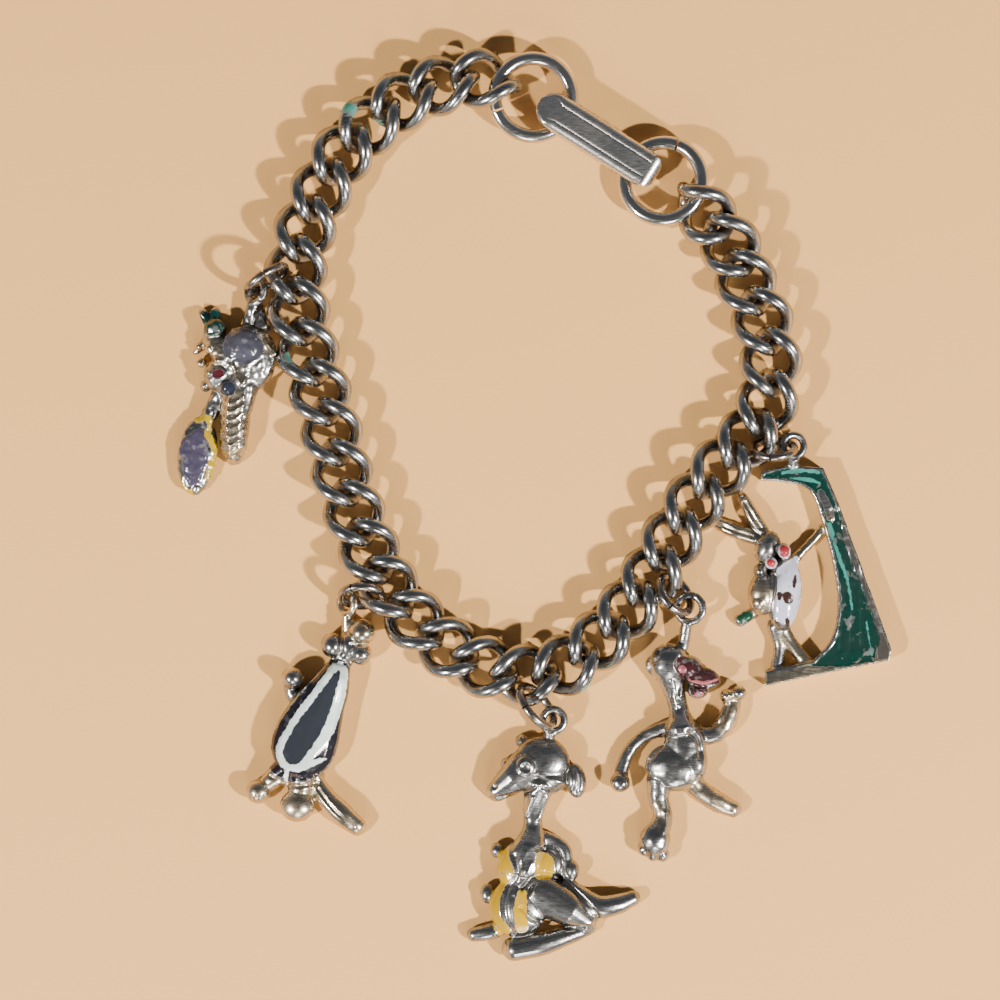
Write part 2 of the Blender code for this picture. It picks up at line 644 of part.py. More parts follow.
def fuse(name, shells, finish):
    """One solid from closed shells that overlap, joined by unions."""
    whole = show(name, mesh_of(name, *shells[0]), finish)
    others = []
    for number, shell in enumerate(shells[1:], 1):
        form = f"{name}_form_{number:02d}"
        others.append(show(form, mesh_of(form, *shell), finish))
    for other in others:
        other.hide_render = True
        other.display_type = "WIRE"
        union = whole.modifiers.new(other.name, "BOOLEAN")
        union.operation = "UNION"
        union.object = other
    return whole


def make_charm(name, spec, design, finish, extra_outline=None):
    origin, ring, neck = eye_and_shank(spec, design["shank"], design["length"])
    shells = [blob(origin, design["length"], *row) for row in design["blobs"]]
    shells += [limb(origin, design["length"], rows) for rows in design["limbs"]]
    if extra_outline:
        shells.append(slab(origin, design["length"], extra_outline, TREE_THICKNESS))
    return fuse(name, [*shells, neck, ring], finish)


def main():
    for old in list(bpy.data.objects):
        bpy.data.objects.remove(old)
    aged = material("aged_nickel", (0.30, 0.28, 0.25), 0.33)
    bright = material("bright_nickel", (0.62, 0.61, 0.58), 0.22)
    dark = material("dark_nickel", (0.20, 0.18, 0.17), 0.36)
    cast = material("cast_metal", (0.42, 0.39, 0.33), 0.30)
    for number in range(1, LINK_COUNT + 1):
        make_link(number, aged)
    clasp_ring("ring_right", RIGHT_CENTRE, RING_RIGHT_HOLD_ANGLE, RING_RIGHT_SPLIT_ANGLE, bright)
    clasp_ring("ring_left", LEFT_CENTRE, RING_LEFT_HOLD_ANGLE, RING_LEFT_SPLIT_ANGLE, bright)
    make_clasp_base(bright)
    make_clasp_cover(bright)
    cylinder("clasp_pin", PIN_DIAMETER / 2, EAR_SPACING + 2 * PIN_OVERHANG, dark)
    for number, spec in enumerate(JUMP_RINGS, 1):
        make_jump_ring(number, spec, dark)
    make_charm("charm_peacock", JUMP_RINGS[0], PEACOCK, cast)
    make_charm("charm_skunk", JUMP_RINGS[1], SKUNK, cast)
    make_charm("charm_giraffe", JUMP_RINGS[2], GIRAFFE, cast)
    make_charm("charm_monkey", JUMP_RINGS[3], MONKEY, cast)
    make_charm("charm_hare", JUMP_RINGS[4], HARE, cast, tree_outline())
    centre_plan()


main()
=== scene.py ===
# %% [markdown]
# Charm bracelet. The real one is a twisted curb chain of round nickel-silver wire, closed by a fold-over
# clasp between two split rings, with five cast and enamelled charms on small jump rings. It lies on a
# table, clasp closed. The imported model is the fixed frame: every piece below takes its place from it, so
# nothing is fitted by eye. All lengths are worked in millimetres and turned into Blender's metres in one
# place.

import json
import math

import bmesh
import bpy
import numpy as np
from mathutils import Matrix, Vector, noise


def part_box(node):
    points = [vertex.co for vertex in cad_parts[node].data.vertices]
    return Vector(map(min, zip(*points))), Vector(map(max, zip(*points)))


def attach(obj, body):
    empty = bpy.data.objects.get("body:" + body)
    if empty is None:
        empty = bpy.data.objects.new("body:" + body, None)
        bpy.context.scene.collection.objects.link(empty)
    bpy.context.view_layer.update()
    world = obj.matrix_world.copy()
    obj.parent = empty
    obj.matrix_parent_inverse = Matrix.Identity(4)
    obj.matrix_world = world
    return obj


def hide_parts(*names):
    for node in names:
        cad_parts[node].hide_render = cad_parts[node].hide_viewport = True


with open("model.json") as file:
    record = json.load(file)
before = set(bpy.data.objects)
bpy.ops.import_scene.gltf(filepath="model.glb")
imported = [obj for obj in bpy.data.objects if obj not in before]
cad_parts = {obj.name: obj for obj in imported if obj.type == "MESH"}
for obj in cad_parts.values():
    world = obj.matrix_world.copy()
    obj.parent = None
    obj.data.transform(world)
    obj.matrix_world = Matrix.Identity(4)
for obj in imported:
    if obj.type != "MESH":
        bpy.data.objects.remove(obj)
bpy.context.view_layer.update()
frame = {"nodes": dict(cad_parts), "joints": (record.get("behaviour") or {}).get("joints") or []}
MM = 0.001
UP = Vector((0, 0, 1))
LINK_NODES = sorted(name for name in frame["nodes"] if name.startswith("chain_link_"))
print("frame:", len(frame["nodes"]), "nodes,", len(LINK_NODES), "links")


# %% [markdown]
# The photograph looks straight down. A long lens far above the table gives that view with little
# perspective, and the frame's width is the photograph's width at the table: 1000 pixels of about 0.1075 mm.

# %% Camera from straight above
PHOTO_WIDTH = 107.5
VIEW_MIDDLE = (-3.73, 0.42)
CAMERA_HEIGHT = 520.0
SENSOR = 36.0

camera_data = bpy.data.cameras.new("overhead_camera")
camera_data.sensor_width = SENSOR
camera_data.lens = SENSOR * CAMERA_HEIGHT / PHOTO_WIDTH
camera_data.clip_end = 5.0
camera = bpy.data.objects.new("overhead_camera", camera_data)
camera.location = Vector((*VIEW_MIDDLE, CAMERA_HEIGHT)) * MM
bpy.context.scene.collection.objects.link(camera)
bpy.context.scene.camera = camera
print("camera: lens", round(camera_data.lens, 1), "mm,", CAMERA_HEIGHT, "mm above the table")


# %% [markdown]
# Nodes of shaders and of geometry trees are set up the same way, so one helper makes any node: it takes
# plain values, or another node's output where the two should be joined. A second helper does sums.

# %% Node helpers
def join(tree, node, inputs):
    """Gives a node's inputs plain values, or joins them to other nodes' outputs."""
    for key, value in inputs.items():
        if isinstance(value, bpy.types.NodeSocket):
            tree.links.new(value, node.inputs[key])
        else:
            node.inputs[key].default_value = value


def add(tree, kind, inputs=None, **settings):
    """Adds a node; an input is a value, or an output socket of another node to join it to."""
    made = tree.nodes.new(kind)
    for name, value in settings.items():
        setattr(made, name, value)
    join(tree, made, inputs or {})
    return made


def sums(tree, operation, first, second=0.0, clamp=False):
    made = add(tree, "ShaderNodeMath", {0: first, 1: second}, operation=operation, use_clamp=clamp)
    return made.outputs[0]


def times(tree, first, second):
    return sums(tree, "MULTIPLY", first, second)


def mixed(tree, share, first, second):
    """A colour between two others."""
    made = add(tree, "ShaderNodeMix", {0: share, 6: first, 7: second}, data_type="RGBA")
    return made.outputs[2]


def spread(tree, value, low, high, out_low=0.0, out_high=1.0):
    """Stretches a value's range to another, and cuts it off at both ends."""
    made = add(tree, "ShaderNodeMapRange", {"Value": value, "From Min": low, "From Max": high,
                                            "To Min": out_low, "To Max": out_high})
    return made.outputs["Result"]


def new_group(name, kind, sockets):
    """A node group with named inputs and outputs: rows of (name, socket type, IN or OUT, default)."""
    tree = bpy.data.node_groups.new(name, kind)
    for title, socket_type, way, default in sockets:
        socket = tree.interface.new_socket(title, in_out=way, socket_type=socket_type)
        if default is not None:
            socket.default_value = default
    return tree, tree.nodes.new("NodeGroupInput"), tree.nodes.new("NodeGroupOutput")


FLOAT = "NodeSocketFloat"
COLOR = "NodeSocketColor"
VECTOR = "NodeSocketVector"
GEOMETRY = "NodeSocketGeometry"
print("helpers for shader and geometry trees are ready")


# %% [markdown]
# Old plated metal is never one grey. It is bright where fingers rub it, brown-black with tarnish where they
# can't reach, and it has fine scratches and, here and there, a teal bloom of corrosion. All the metals share
# these effects, so they are a group that each material fills in with its own colours and amounts. The
# darkening in corners and where parts touch comes from ambient occlusion, measured in the material and
# handed in: it is partly tarnish and partly painted shade.

# %% Shader group: handled metal
VERDIGRIS = (0.03, 0.24, 0.19, 1)


def handled_metal_group():
    tree, given, out = new_group("handled metal", "ShaderNodeTree", [
        ("Bright", COLOR, "INPUT", (0.6, 0.58, 0.54, 1)),
        ("Tarnish And Shade", COLOR, "INPUT", (0.10, 0.08, 0.06, 1)),
        ("Openness", FLOAT, "INPUT", 1.0),
        ("Grime And Shade", FLOAT, "INPUT", 1.0),
        ("Polish", FLOAT, "INPUT", 0.16),
        ("Bloom", FLOAT, "INPUT", 0.0),
        ("Colour", COLOR, "OUTPUT", None),
        ("Roughness", FLOAT, "OUTPUT", None),
        ("Height", FLOAT, "OUTPUT", None),
        ("Plain Metal", FLOAT, "OUTPUT", None),
    ])
    place = add(tree, "ShaderNodeTexCoord").outputs["Object"]
    blotch = add(tree, "ShaderNodeTexNoise", {"Vector": place, "Scale": 260.0, "Detail": 3.0}).outputs["Fac"]
    grain = add(tree, "ShaderNodeTexNoise", {"Vector": place, "Scale": 5200.0, "Detail": 4.0}).outputs["Fac"]
    drawn = add(tree, "ShaderNodeMapping", {"Vector": place, "Scale": (1.0, 7.0, 2.5),
                                            "Rotation": (0.3, 0.2, 0.7)}).outputs[0]
    streaks = add(tree, "ShaderNodeTexNoise", {"Vector": drawn, "Scale": 1300.0, "Detail": 5.0})
    scratch = streaks.outputs["Fac"]
    # The occluded share is painted shade in corners and where parts touch; with the blotches of tarnish it
    # darkens the colour.
    occluded_shade = sums(tree, "SUBTRACT", 1.0, given.outputs["Openness"])
    tarnish_and_shade_share = times(tree, times(tree, occluded_shade, 1.7), given.outputs["Grime And Shade"])
    patchy = times(tree, spread(tree, blotch, 0.42, 0.75), 0.40)
    tarnish_and_shade_share = sums(tree, "ADD", tarnish_and_shade_share, times(tree, patchy, given.outputs["Grime And Shade"]))
    tarnish_and_shade_share = sums(tree, "MULTIPLY", tarnish_and_shade_share, spread(tree, scratch, 0.25, 0.6, 0.7, 1.15), clamp=True)
    colour = mixed(tree, tarnish_and_shade_share, given.outputs["Bright"], given.outputs["Tarnish And Shade"])
    bloom = spread(tree, sums(tree, "ADD", given.outputs["Bloom"], times(tree, scratch, 0.8)), 0.75, 1.0)
    colour = mixed(tree, bloom, colour, VERDIGRIS)
    rough = sums(tree, "ADD", given.outputs["Polish"], times(tree, tarnish_and_shade_share, 0.26))
    rough = sums(tree, "ADD", rough, spread(tree, scratch, 0.35, 0.75, 0.0, 0.10))
    rough = sums(tree, "ADD", rough, times(tree, bloom, 0.5))
    height = sums(tree, "ADD", times(tree, scratch, 0.6), times(tree, grain, 0.4))
    plain = sums(tree, "SUBTRACT", 1.0, bloom)
    join(tree, out, {"Colour": colour, "Roughness": rough, "Height": height, "Plain Metal": plain})
    return tree


HANDLED_METAL = handled_metal_group()
print("shader group:", HANDLED_METAL.name, "with", len(HANDLED_METAL.nodes), "nodes")


# %% [markdown]
# Each metal of the bracelet is that group with its own values, in front of one Principled shader. The chain
# is grey-brown, the rings and the clasp are brighter, and the jump rings are dark.

# %% The metals of chain, rings and clasp
BLOOMS = [(-26.0, 15.2, 2.5), (-20.0, 42.0, 2.8), (-17.2, 40.4, 2.0), (-13.2, 46.0, 2.8), (6.0, -19.5, 2.5)]
BLOOM_CORE = 0.6
BLOOM_EDGE = 1.9
BLOOM_STRENGTH = 0.7


def metal(name, bright, tarnish_and_shade, grime_and_shade, polish, reach, bump, blooms=()):
    """A handled metal; corners within reach, in millimetres, get tarnish and painted shade; verdigris at
    places.
    """
    finish = bpy.data.materials.new(name)
    finish.use_nodes = True
    tree = finish.node_tree
    shader = tree.nodes["Principled BSDF"]
    # Ambient occlusion finds corners and contacts; the darkening it drives is partly tarnish and partly
    # painted shade.
    occlusion_shade = add(tree, "ShaderNodeAmbientOcclusion", {"Distance": reach * MM}, samples=8, only_local=True)
    place = add(tree, "ShaderNodeTexCoord").outputs["Object"]
    bloom = 0.0
    for x, y, z in blooms:
        spot = (x * MM, y * MM, z * MM)
        away = add(tree, "ShaderNodeVectorMath", {0: place, 1: spot}, operation="DISTANCE")
        near = spread(tree, away.outputs["Value"], BLOOM_CORE * MM, BLOOM_EDGE * MM, BLOOM_STRENGTH, 0.0)
        bloom = sums(tree, "MAXIMUM", near, bloom)
    group = add(tree, "ShaderNodeGroup", node_tree=HANDLED_METAL)
    join(tree, group, {"Bright": (*bright, 1), "Tarnish And Shade": (*tarnish_and_shade, 1), "Openness": occlusion_shade.outputs["AO"],
                       "Grime And Shade": grime_and_shade, "Polish": polish, "Bloom": bloom})
    relief = add(tree, "ShaderNodeBump", {"Height": group.outputs["Height"], "Strength": bump,
                                          "Distance": 0.02 * MM})
    made = group.outputs
    join(tree, shader, {"Base Color": made["Colour"], "Roughness": made["Roughness"],
                        "Metallic": made["Plain Metal"], "Normal": relief.outputs["Normal"]})
    return finish


METALS = [
    dict(name="chain nickel silver", bright=(0.40, 0.395, 0.385), tarnish_and_shade=(0.056, 0.049, 0.042),
         grime_and_shade=1.0, polish=0.15, reach=1.3, bump=0.30, blooms=BLOOMS),
    dict(name="bright plated wire", bright=(0.66, 0.63, 0.59), tarnish_and_shade=(0.13, 0.10, 0.08),
         grime_and_shade=0.75, polish=0.11, reach=0.9, bump=0.25),
    dict(name="clasp sheet", bright=(0.70, 0.67, 0.63), tarnish_and_shade=(0.15, 0.125, 0.11),
         grime_and_shade=0.75, polish=0.20, reach=0.7, bump=0.25),
    dict(name="dark jump wire", bright=(0.30, 0.27, 0.25), tarnish_and_shade=(0.05, 0.04, 0.035),
         grime_and_shade=1.0, polish=0.18, reach=0.9, bump=0.4),
]
CHAIN_METAL, RING_METAL, CLASP_METAL, JUMP_METAL = [metal(**row) for row in METALS]
print("metals:", [row["name"] for row in METALS])


# %% [markdown]
# The chain is one link, 34 times over: an oval of round wire, twisted a quarter turn from end to end so
# that each link lies flat on the next. A rule like this is what Geometry Nodes are for. Points carry where
# each link lies and how it is turned, and the tree bends one circle into the twisted oval, gives it its
# wire and sets it on every point. The frame's own links say where they lie, because a link's middle is the
# mean of its points.

# %% Where the links lie
LINK_WIRE = 1.5
LINK_HALF_WIDTH = 2.7
LINK_CLEARANCE = 0.48
LINK_QUARTER_TURN = 90.0
LINK_STEPS = 64
LINK_SIDES = 20
LINK_ROLLS = [  # (link number, degrees), and links between these are rolled between them
    (1, -30), (3, 0), (6, 0), (8, 12), (10, 0), (17, 0), (19, -14), (21, 0), (30, 0), (32, 18), (34, 24),
]
RIGHT_END_LINK_ANGLE = -50.0
LEFT_END_LINK_ANGLE = 168.0


def turned(degrees):
    return Vector((math.cos(math.radians(degrees)), math.sin(math.radians(degrees)), 0))


def node_points(name):
    """A CAD node's corner points, in millimetres, each once."""
    points = np.array([vertex.co for vertex in frame["nodes"][name].data.vertices]) / MM
    return np.unique(points.round(4), axis=0)


LINK_MIDDLES = [Vector(node_points(name).mean(axis=0)) for name in LINK_NODES]
steps = [(b - a).xy.length for a, b in zip(LINK_MIDDLES, LINK_MIDDLES[1:])]
LINK_PITCH = sum(steps) / len(steps)
LINK_HALF_LENGTH = (LINK_PITCH + LINK_WIRE + LINK_CLEARANCE) / 2


def link_along(number):
    """The chain's direction at a link counted from 1."""
    if number == 1:
        return turned(RIGHT_END_LINK_ANGLE)
    if number == len(LINK_NODES):
        return -turned(LEFT_END_LINK_ANGLE)
    direction = LINK_MIDDLES[number] - LINK_MIDDLES[number - 2]
    return Vector((direction.x, direction.y, 0)).normalized()


def link_roll(number):
    numbers, rolls = zip(*LINK_ROLLS)
    return float(np.interp(number, numbers, rolls))


print("chain: pitch", round(LINK_PITCH, 2), "mm, link", round(2 * LINK_HALF_LENGTH + LINK_WIRE, 2), "mm long")


# %% [markdown]
# The tree works in four steps. Each point of a circle is moved to its place on the twisted oval, worked out
# from its number. The oval gets its round wire, the link is set on every point with that point's turn, and
# the links become real mesh with their material.

# %% Geometry Nodes tree: a chain of twisted links
def chain_tree():
    tree, given, out = new_group("twisted chain", "GeometryNodeTree", [
        ("Points", GEOMETRY, "INPUT", None),
        ("Wire", FLOAT, "INPUT", 1.5 * MM),
        ("Half Width", FLOAT, "INPUT", 2.7 * MM),
        ("Half Length", FLOAT, "INPUT", 3.2 * MM),
        ("Twist Per Metre", FLOAT, "INPUT", 350.0),
        ("Steps", "NodeSocketInt", "INPUT", 64),
        ("Sides", "NodeSocketInt", "INPUT", 20),
        ("Material", "NodeSocketMaterial", "INPUT", None),
        ("Chain", GEOMETRY, "OUTPUT", None),
    ])
    size = given.outputs
    oval = add(tree, "GeometryNodeCurvePrimitiveCircle", {"Resolution": size["Steps"], "Radius": 1.0})
    number = add(tree, "GeometryNodeInputIndex").outputs[0]
    angle = sums(tree, "DIVIDE", times(tree, number, math.tau), size["Steps"])
    forward = times(tree, sums(tree, "COSINE", angle), size["Half Length"])
    aside = times(tree, sums(tree, "SINE", angle), size["Half Width"])
    twist = times(tree, forward, size["Twist Per Metre"])
    across = times(tree, aside, sums(tree, "COSINE", twist))
    down = times(tree, times(tree, aside, sums(tree, "SINE", twist)), -1.0)
    place = add(tree, "ShaderNodeCombineXYZ", {"X": forward, "Y": across, "Z": down}).outputs[0]
    bent = add(tree, "GeometryNodeSetPosition", {"Geometry": oval.outputs["Curve"], "Position": place})
    radius = sums(tree, "DIVIDE", size["Wire"], 2.0)
    section = add(tree, "GeometryNodeCurvePrimitiveCircle", {"Resolution": size["Sides"], "Radius": radius})
    wire = add(tree, "GeometryNodeCurveToMesh", {"Curve": bent.outputs[0],
                                                 "Profile Curve": section.outputs["Curve"]})
    turn = add(tree, "GeometryNodeInputNamedAttribute", {"Name": "turn"}, data_type="FLOAT_VECTOR").outputs[0]
    facing = add(tree, "FunctionNodeEulerToRotation", {0: turn}).outputs[0]
    links = add(tree, "GeometryNodeInstanceOnPoints", {"Points": size["Points"], "Instance": wire.outputs[0],
                                                       "Rotation": facing})
    real = add(tree, "GeometryNodeRealizeInstances", {"Geometry": links.outputs[0]})
    finished = add(tree, "GeometryNodeSetMaterial", {"Geometry": real.outputs[0],
                                                     "Material": size["Material"]})
    join(tree, out, {"Chain": finished.outputs[0]})
    return tree


CHAIN_TREE = chain_tree()
print("geometry tree:", CHAIN_TREE.name, "with", len(CHAIN_TREE.nodes), "nodes")


# %% [markdown]
# A modifier's inputs are set by their identifiers, which stay the same when a socket is renamed. The result
# is then read as a plain mesh and put on a new object at the origin, so that the pieces ride on the frame's
# bodies like any other mesh.

# %% From a tree to a plain piece
def new_holder(name, mesh):
    """An object that only carries a mesh and its modifiers until the result is read."""
    holder = bpy.data.objects.new(name, mesh)
    bpy.context.scene.collection.objects.link(holder)
    return holder


def result_of(holder):
    """The mesh that the holder's modifiers make; the modifiers and the holder are removed."""
    seen = holder.evaluated_get(bpy.context.evaluated_depsgraph_get())
    mesh = bpy.data.meshes.new_from_object(seen)
    holder.modifiers.clear()
    bpy.data.objects.remove(holder)
    return mesh


def grown(name, tree, start, values):
    """Runs a geometry tree on a start mesh with named inputs, and returns the result as a plain object."""
    holder = new_holder(name + "_start", start)
    modifier = holder.modifiers.new(tree.name, "NODES")
    modifier.node_group = tree
    for item in tree.interface.items_tree:
        if item.item_type == "SOCKET" and item.in_out == "INPUT" and item.name in values:
            modifier[item.identifier] = values[item.name]
    return piece_of(name, result_of(holder))


def piece_of(name, mesh, smooth_angle=40):
    """A smooth-shaded object at the origin, sharp where faces meet at more than the angle."""
    mesh.name = name
    mesh.shade_smooth()
    mesh.set_sharp_from_angle(angle=math.radians(smooth_angle))
    piece = bpy.data.objects.new(name, mesh)
    bpy.context.scene.collection.objects.link(piece)
    return piece


def placed(piece, body, slot, *nodes):
    """Hands a finished piece to the frame: the body that it rides on and the solids it replaces; slot is not
    used.
    """
    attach(piece, body)
    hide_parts(*nodes)
    corners = np.array([vertex.co for vertex in piece.data.vertices]) / MM
    size = " x ".join(f"{side:.1f}" for side in np.ptp(corners, axis=0))
    print(f"{piece.name}: {len(piece.data.polygons)} faces, {size} mm")


print("pieces are read from their trees as plain meshes")


# %% [markdown]
# The start mesh holds one point for each link. Its turn is the link's heading in plan and its roll about
# the chain's direction, and the twist is spread so that it makes a quarter turn over one pitch.

# %% The chain
def make_chain():
    points = bpy.data.meshes.new("link_points")
    points.from_pydata([middle * MM for middle in LINK_MIDDLES], [], [])
    turns = points.attributes.new("turn", "FLOAT_VECTOR", "POINT")
    for number in range(1, len(LINK_NODES) + 1):
        along = link_along(number)
        heading = math.atan2(along.y, along.x)
        turns.data[number - 1].vector = (-math.radians(link_roll(number)), 0, heading)
    return grown("chain", CHAIN_TREE, points, {
        "Wire": LINK_WIRE * MM,
        "Half Width": LINK_HALF_WIDTH * MM,
        "Half Length": LINK_HALF_LENGTH * MM,
        "Twist Per Metre": math.radians(LINK_QUARTER_TURN) / (LINK_PITCH * MM),
        "Steps": LINK_STEPS,
        "Sides": LINK_SIDES,
        "Material": CHAIN_METAL,
    })


chain = make_chain()
placed(chain, "bracelet", "chain_metal", *LINK_NODES)


# %% [markdown]
# Split rings and jump rings are round wire wound into a circle and sawn through, so a thin gap stays open.
# One tree makes them all: an arc a little short of a full circle, given its wire and closed ends.

# %% Geometry Nodes tree: a ring of wire with its split
RING_STEPS = 96
RING_SIDES = 24


def ring_tree():
    tree, given, out = new_group("split wire ring", "GeometryNodeTree", [
        ("Geometry", GEOMETRY, "INPUT", None),
        ("Radius", FLOAT, "INPUT", 4.0 * MM),
        ("Wire", FLOAT, "INPUT", 1.5 * MM),
        ("Split", FLOAT, "INPUT", 0.2 * MM),
        ("Place", VECTOR, "INPUT", None),
        ("Turn", VECTOR, "INPUT", None),
        ("Material", "NodeSocketMaterial", "INPUT", None),
        ("Ring", GEOMETRY, "OUTPUT", None),
    ])
    size = given.outputs
    cut = sums(tree, "DIVIDE", size["Split"], size["Radius"])
    sweep = sums(tree, "SUBTRACT", math.tau, cut)
    begin = sums(tree, "DIVIDE", cut, 2.0)
    arc = add(tree, "GeometryNodeCurveArc", {"Resolution": RING_STEPS, "Radius": size["Radius"],
                                             "Start Angle": begin, "Sweep Angle": sweep})
    radius = sums(tree, "DIVIDE", size["Wire"], 2.0)
    section = add(tree, "GeometryNodeCurvePrimitiveCircle", {"Resolution": RING_SIDES, "Radius": radius})
    wire = add(tree, "GeometryNodeCurveToMesh", {"Curve": arc.outputs[0], "Fill Caps": True,
                                                 "Profile Curve": section.outputs["Curve"]})
    moved = add(tree, "GeometryNodeTransform", {"Geometry": wire.outputs[0], "Translation": size["Place"],
                                                "Rotation": size["Turn"]})
    real = add(tree, "GeometryNodeRealizeInstances", {"Geometry": moved.outputs[0]})
    finished = add(tree, "GeometryNodeSetMaterial", {"Geometry": real.outputs[0],
                                                     "Material": size["Material"]})
    join(tree, out, {"Ring": finished.outputs[0]})
    return tree


RING_TREE = ring_tree()


def make_ring(name, middle, first, second, radius, wire, split, split_angle, finish):
    """A split ring in the plane of two unit directions, with its split at an angle from the first."""
    angle = math.radians(split_angle)
    towards = math.cos(angle) * first + math.sin(angle) * second
    axes = Matrix((towards, first.cross(second).cross(towards), first.cross(second))).transposed()
    turn = axes.to_euler()
    return grown(name, RING_TREE, bpy.data.meshes.new(name + "_start"), {
        "Radius": radius * MM, "Wire": wire * MM, "Split": split * MM, "Place": middle * MM,
        "Turn": tuple(turn), "Material": finish,
    })


print("geometry tree:", RING_TREE.name, "with", len(RING_TREE.nodes), "nodes")


# %% [markdown]
# The clasp's own directions come from its hinge pin and from the joint's axis in the frame. The two large
# rings lie where the clasp holds them: low in the clasp, and a little higher where they hold the chain.

# %% Clasp directions and the two large rings
HINGE_JOINT = frame["joints"][0]
HINGE_AXIS = Vector(HINGE_JOINT["axis"]).normalized()
HINGE = Vector(HINGE_JOINT["pos_m"]) / MM
HINGE_PLAN = Vector((HINGE.x, HINGE.y, 0))
CLASP_ALONG = HINGE_AXIS.cross(UP) * -1
CLASP_ACROSS = UP.cross(CLASP_ALONG)
PIN_HEIGHT = HINGE.z
RING_WIRE = 1.5
RING_OUTER_DIAMETER = 9.8
RING_SPLIT = 0.25
RING_RISE = 1.2
RING_RADIUS = (RING_OUTER_DIAMETER - RING_WIRE) / 2
LARGE_RINGS = [
    dict(name="ring_right", hold_angle=-34.0, split_angle=68.0),
    dict(name="ring_left", hold_angle=158.0, split_angle=200.0),
]


def clasp_point(along, across, height):
    along, across, height = float(along), float(across), float(height)
    return HINGE_PLAN + along * CLASP_ALONG + across * CLASP_ACROSS + height * UP


for spec in LARGE_RINGS:
    low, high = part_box(spec["name"])
    middle = (low + high) / 2 / MM
    towards = turned(spec["hold_angle"])
    slope = math.asin(RING_RISE / 2 / RING_RADIUS)
    first = math.cos(slope) * towards + math.sin(slope) * UP
    second = UP.cross(towards)
    ring = make_ring(spec["name"] + "_wire", middle, first, second, RING_RADIUS, RING_WIRE, RING_SPLIT,
                     spec["split_angle"] - spec["hold_angle"], RING_METAL)
    placed(ring, "bracelet", "bright_metal", spec["name"])
print("clasp along", [round(value, 3) for value in CLASP_ALONG])


# %% [markdown]
# Each jump ring passes through one link of the chain and through the eye of its charm. How it lies is said
# the way a jeweller would look at it: the link, how far along it, and how the ring is turned, sloped and
# rolled.

# %% Jump rings
JUMP_WIRE = 0.9
JUMP_CLEARANCE = 0.17
JUMP_SPLIT = 0.15
JUMP_SPLIT_ANGLE = 250.0
JUMP_COLUMNS = ("link", "diameter", "along", "above", "turn", "slope", "roll", "eye_angle", "eye_hole")
JUMP_RINGS = [
    (27, 5.6, 0.10, 1.5, 41.5, 15.3, -77, 30, 1.5),
    (19, 5.2, 0.70, 1.5, -6.0, 38.7, -51, -3, 1.5),
    (15, 6.0, 0.40, 0.9, 39.4, 3.3, -67, 20, 1.5),
    (11, 5.3, 0.35, 1.3, 1.0, 28.0, -50, -20, 2.0),
    (7, 5.3, 0.60, 0.5, 42.0, 7.0, -65, 5, 1.5),
]
JUMP_RINGS = [dict(zip(JUMP_COLUMNS, row)) for row in JUMP_RINGS]


def jump_ring_pose(spec):
    """Centre and two unit directions of a jump ring's circle, and its radius."""
    along = link_along(spec["link"])
    outward = UP.cross(along)
    inset = LINK_HALF_WIDTH - (LINK_WIRE + JUMP_WIRE) / 2 - JUMP_CLEARANCE
    near = LINK_MIDDLES[spec["link"] - 1] + inset * outward + spec["along"] * along + spec["above"] * UP
    radius = (spec["diameter"] - JUMP_WIRE) / 2
    level = Matrix.Rotation(math.radians(spec["turn"]), 3, "Z") @ outward
    slope = math.radians(spec["slope"])
    first = math.cos(slope) * level - math.sin(slope) * UP
    aside = UP.cross(level)
    raised = first.cross(aside)
    roll = math.radians(spec["roll"])
    second = math.cos(roll) * aside + math.sin(roll) * raised
    return near + radius * first, first, second, radius


for number, spec in enumerate(JUMP_RINGS, 1):
    middle, first, second, radius = jump_ring_pose(spec)
    ring = make_ring(f"jump_wire_{number}", middle, first, second, radius, JUMP_WIRE, JUMP_SPLIT,
                     JUMP_SPLIT_ANGLE, JUMP_METAL)
    placed(ring, "bracelet", "dark_metal", f"jump_ring_{number}")
    low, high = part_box(f"jump_ring_{number}")
    print("  off the frame's ring by", round(((low + high) / 2 / MM - middle).length, 2), "mm")


# %% [markdown]
# The clasp is pressed from sheet metal. Its cover is a plate whose long sides roll over into flanges, with
# a rounded finger tab at one end and a rolled-down end with two ears for the pin at the other. Drawn as a
# solid it would need many fillets, so the middle of the sheet is laid out as a grid that already follows
# the rolls, and Solidify and Bevel give it its thickness and worn edges. The base is one strip, curled at
# both ends.

# %% Clasp sizes
SHEET = 0.4
WORN_EDGE = 0.09
PIN_DIAMETER = 0.6
PIN_HEADS = 0.2
HINGE_CLEARANCE = 0.12
SEAT_CLEARANCE = 0.36
COVER_WIDTH = 4.05
EAR_SPACING = 2.1
EAR_RADIUS = 0.72
ROLL = 0.68
FLANGE_DROP = 1.5
END_ROLL = 1.0
END_CORNER = 2.0
CREASE = 0.08
CREASE_INSET = 0.24
CREASE_WIDTH = 0.13
TAB_LENGTH = 2.2
TAB_DIP = 0.45
TAB_FLAT = (2.6, 1.5)
END_NARROWING = 0.9
FLANGE_GAP = 0.35
BASE_WIDTH = 1.9
COVER_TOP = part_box("clasp_cover")[1].z / MM
cover_ends = [(Vector((x, y, 0)) - HINGE_PLAN).dot(CLASP_ALONG) for x, y, _ in node_points("clasp_cover")]
base_ends = [(Vector((x, y, 0)) - HINGE_PLAN).dot(CLASP_ALONG) for x, y, _ in node_points("clasp_base")]
COVER_TIP = max(cover_ends)
COVER_END = min(cover_ends)
HOOK_RADIUS = RING_WIRE / 2 + SEAT_CLEARANCE + SHEET / 2
HOOK_MIDDLE = max(base_ends) - HOOK_RADIUS - SHEET / 2
KNUCKLE_RADIUS = PIN_DIAMETER / 2 + HINGE_CLEARANCE + SHEET / 2
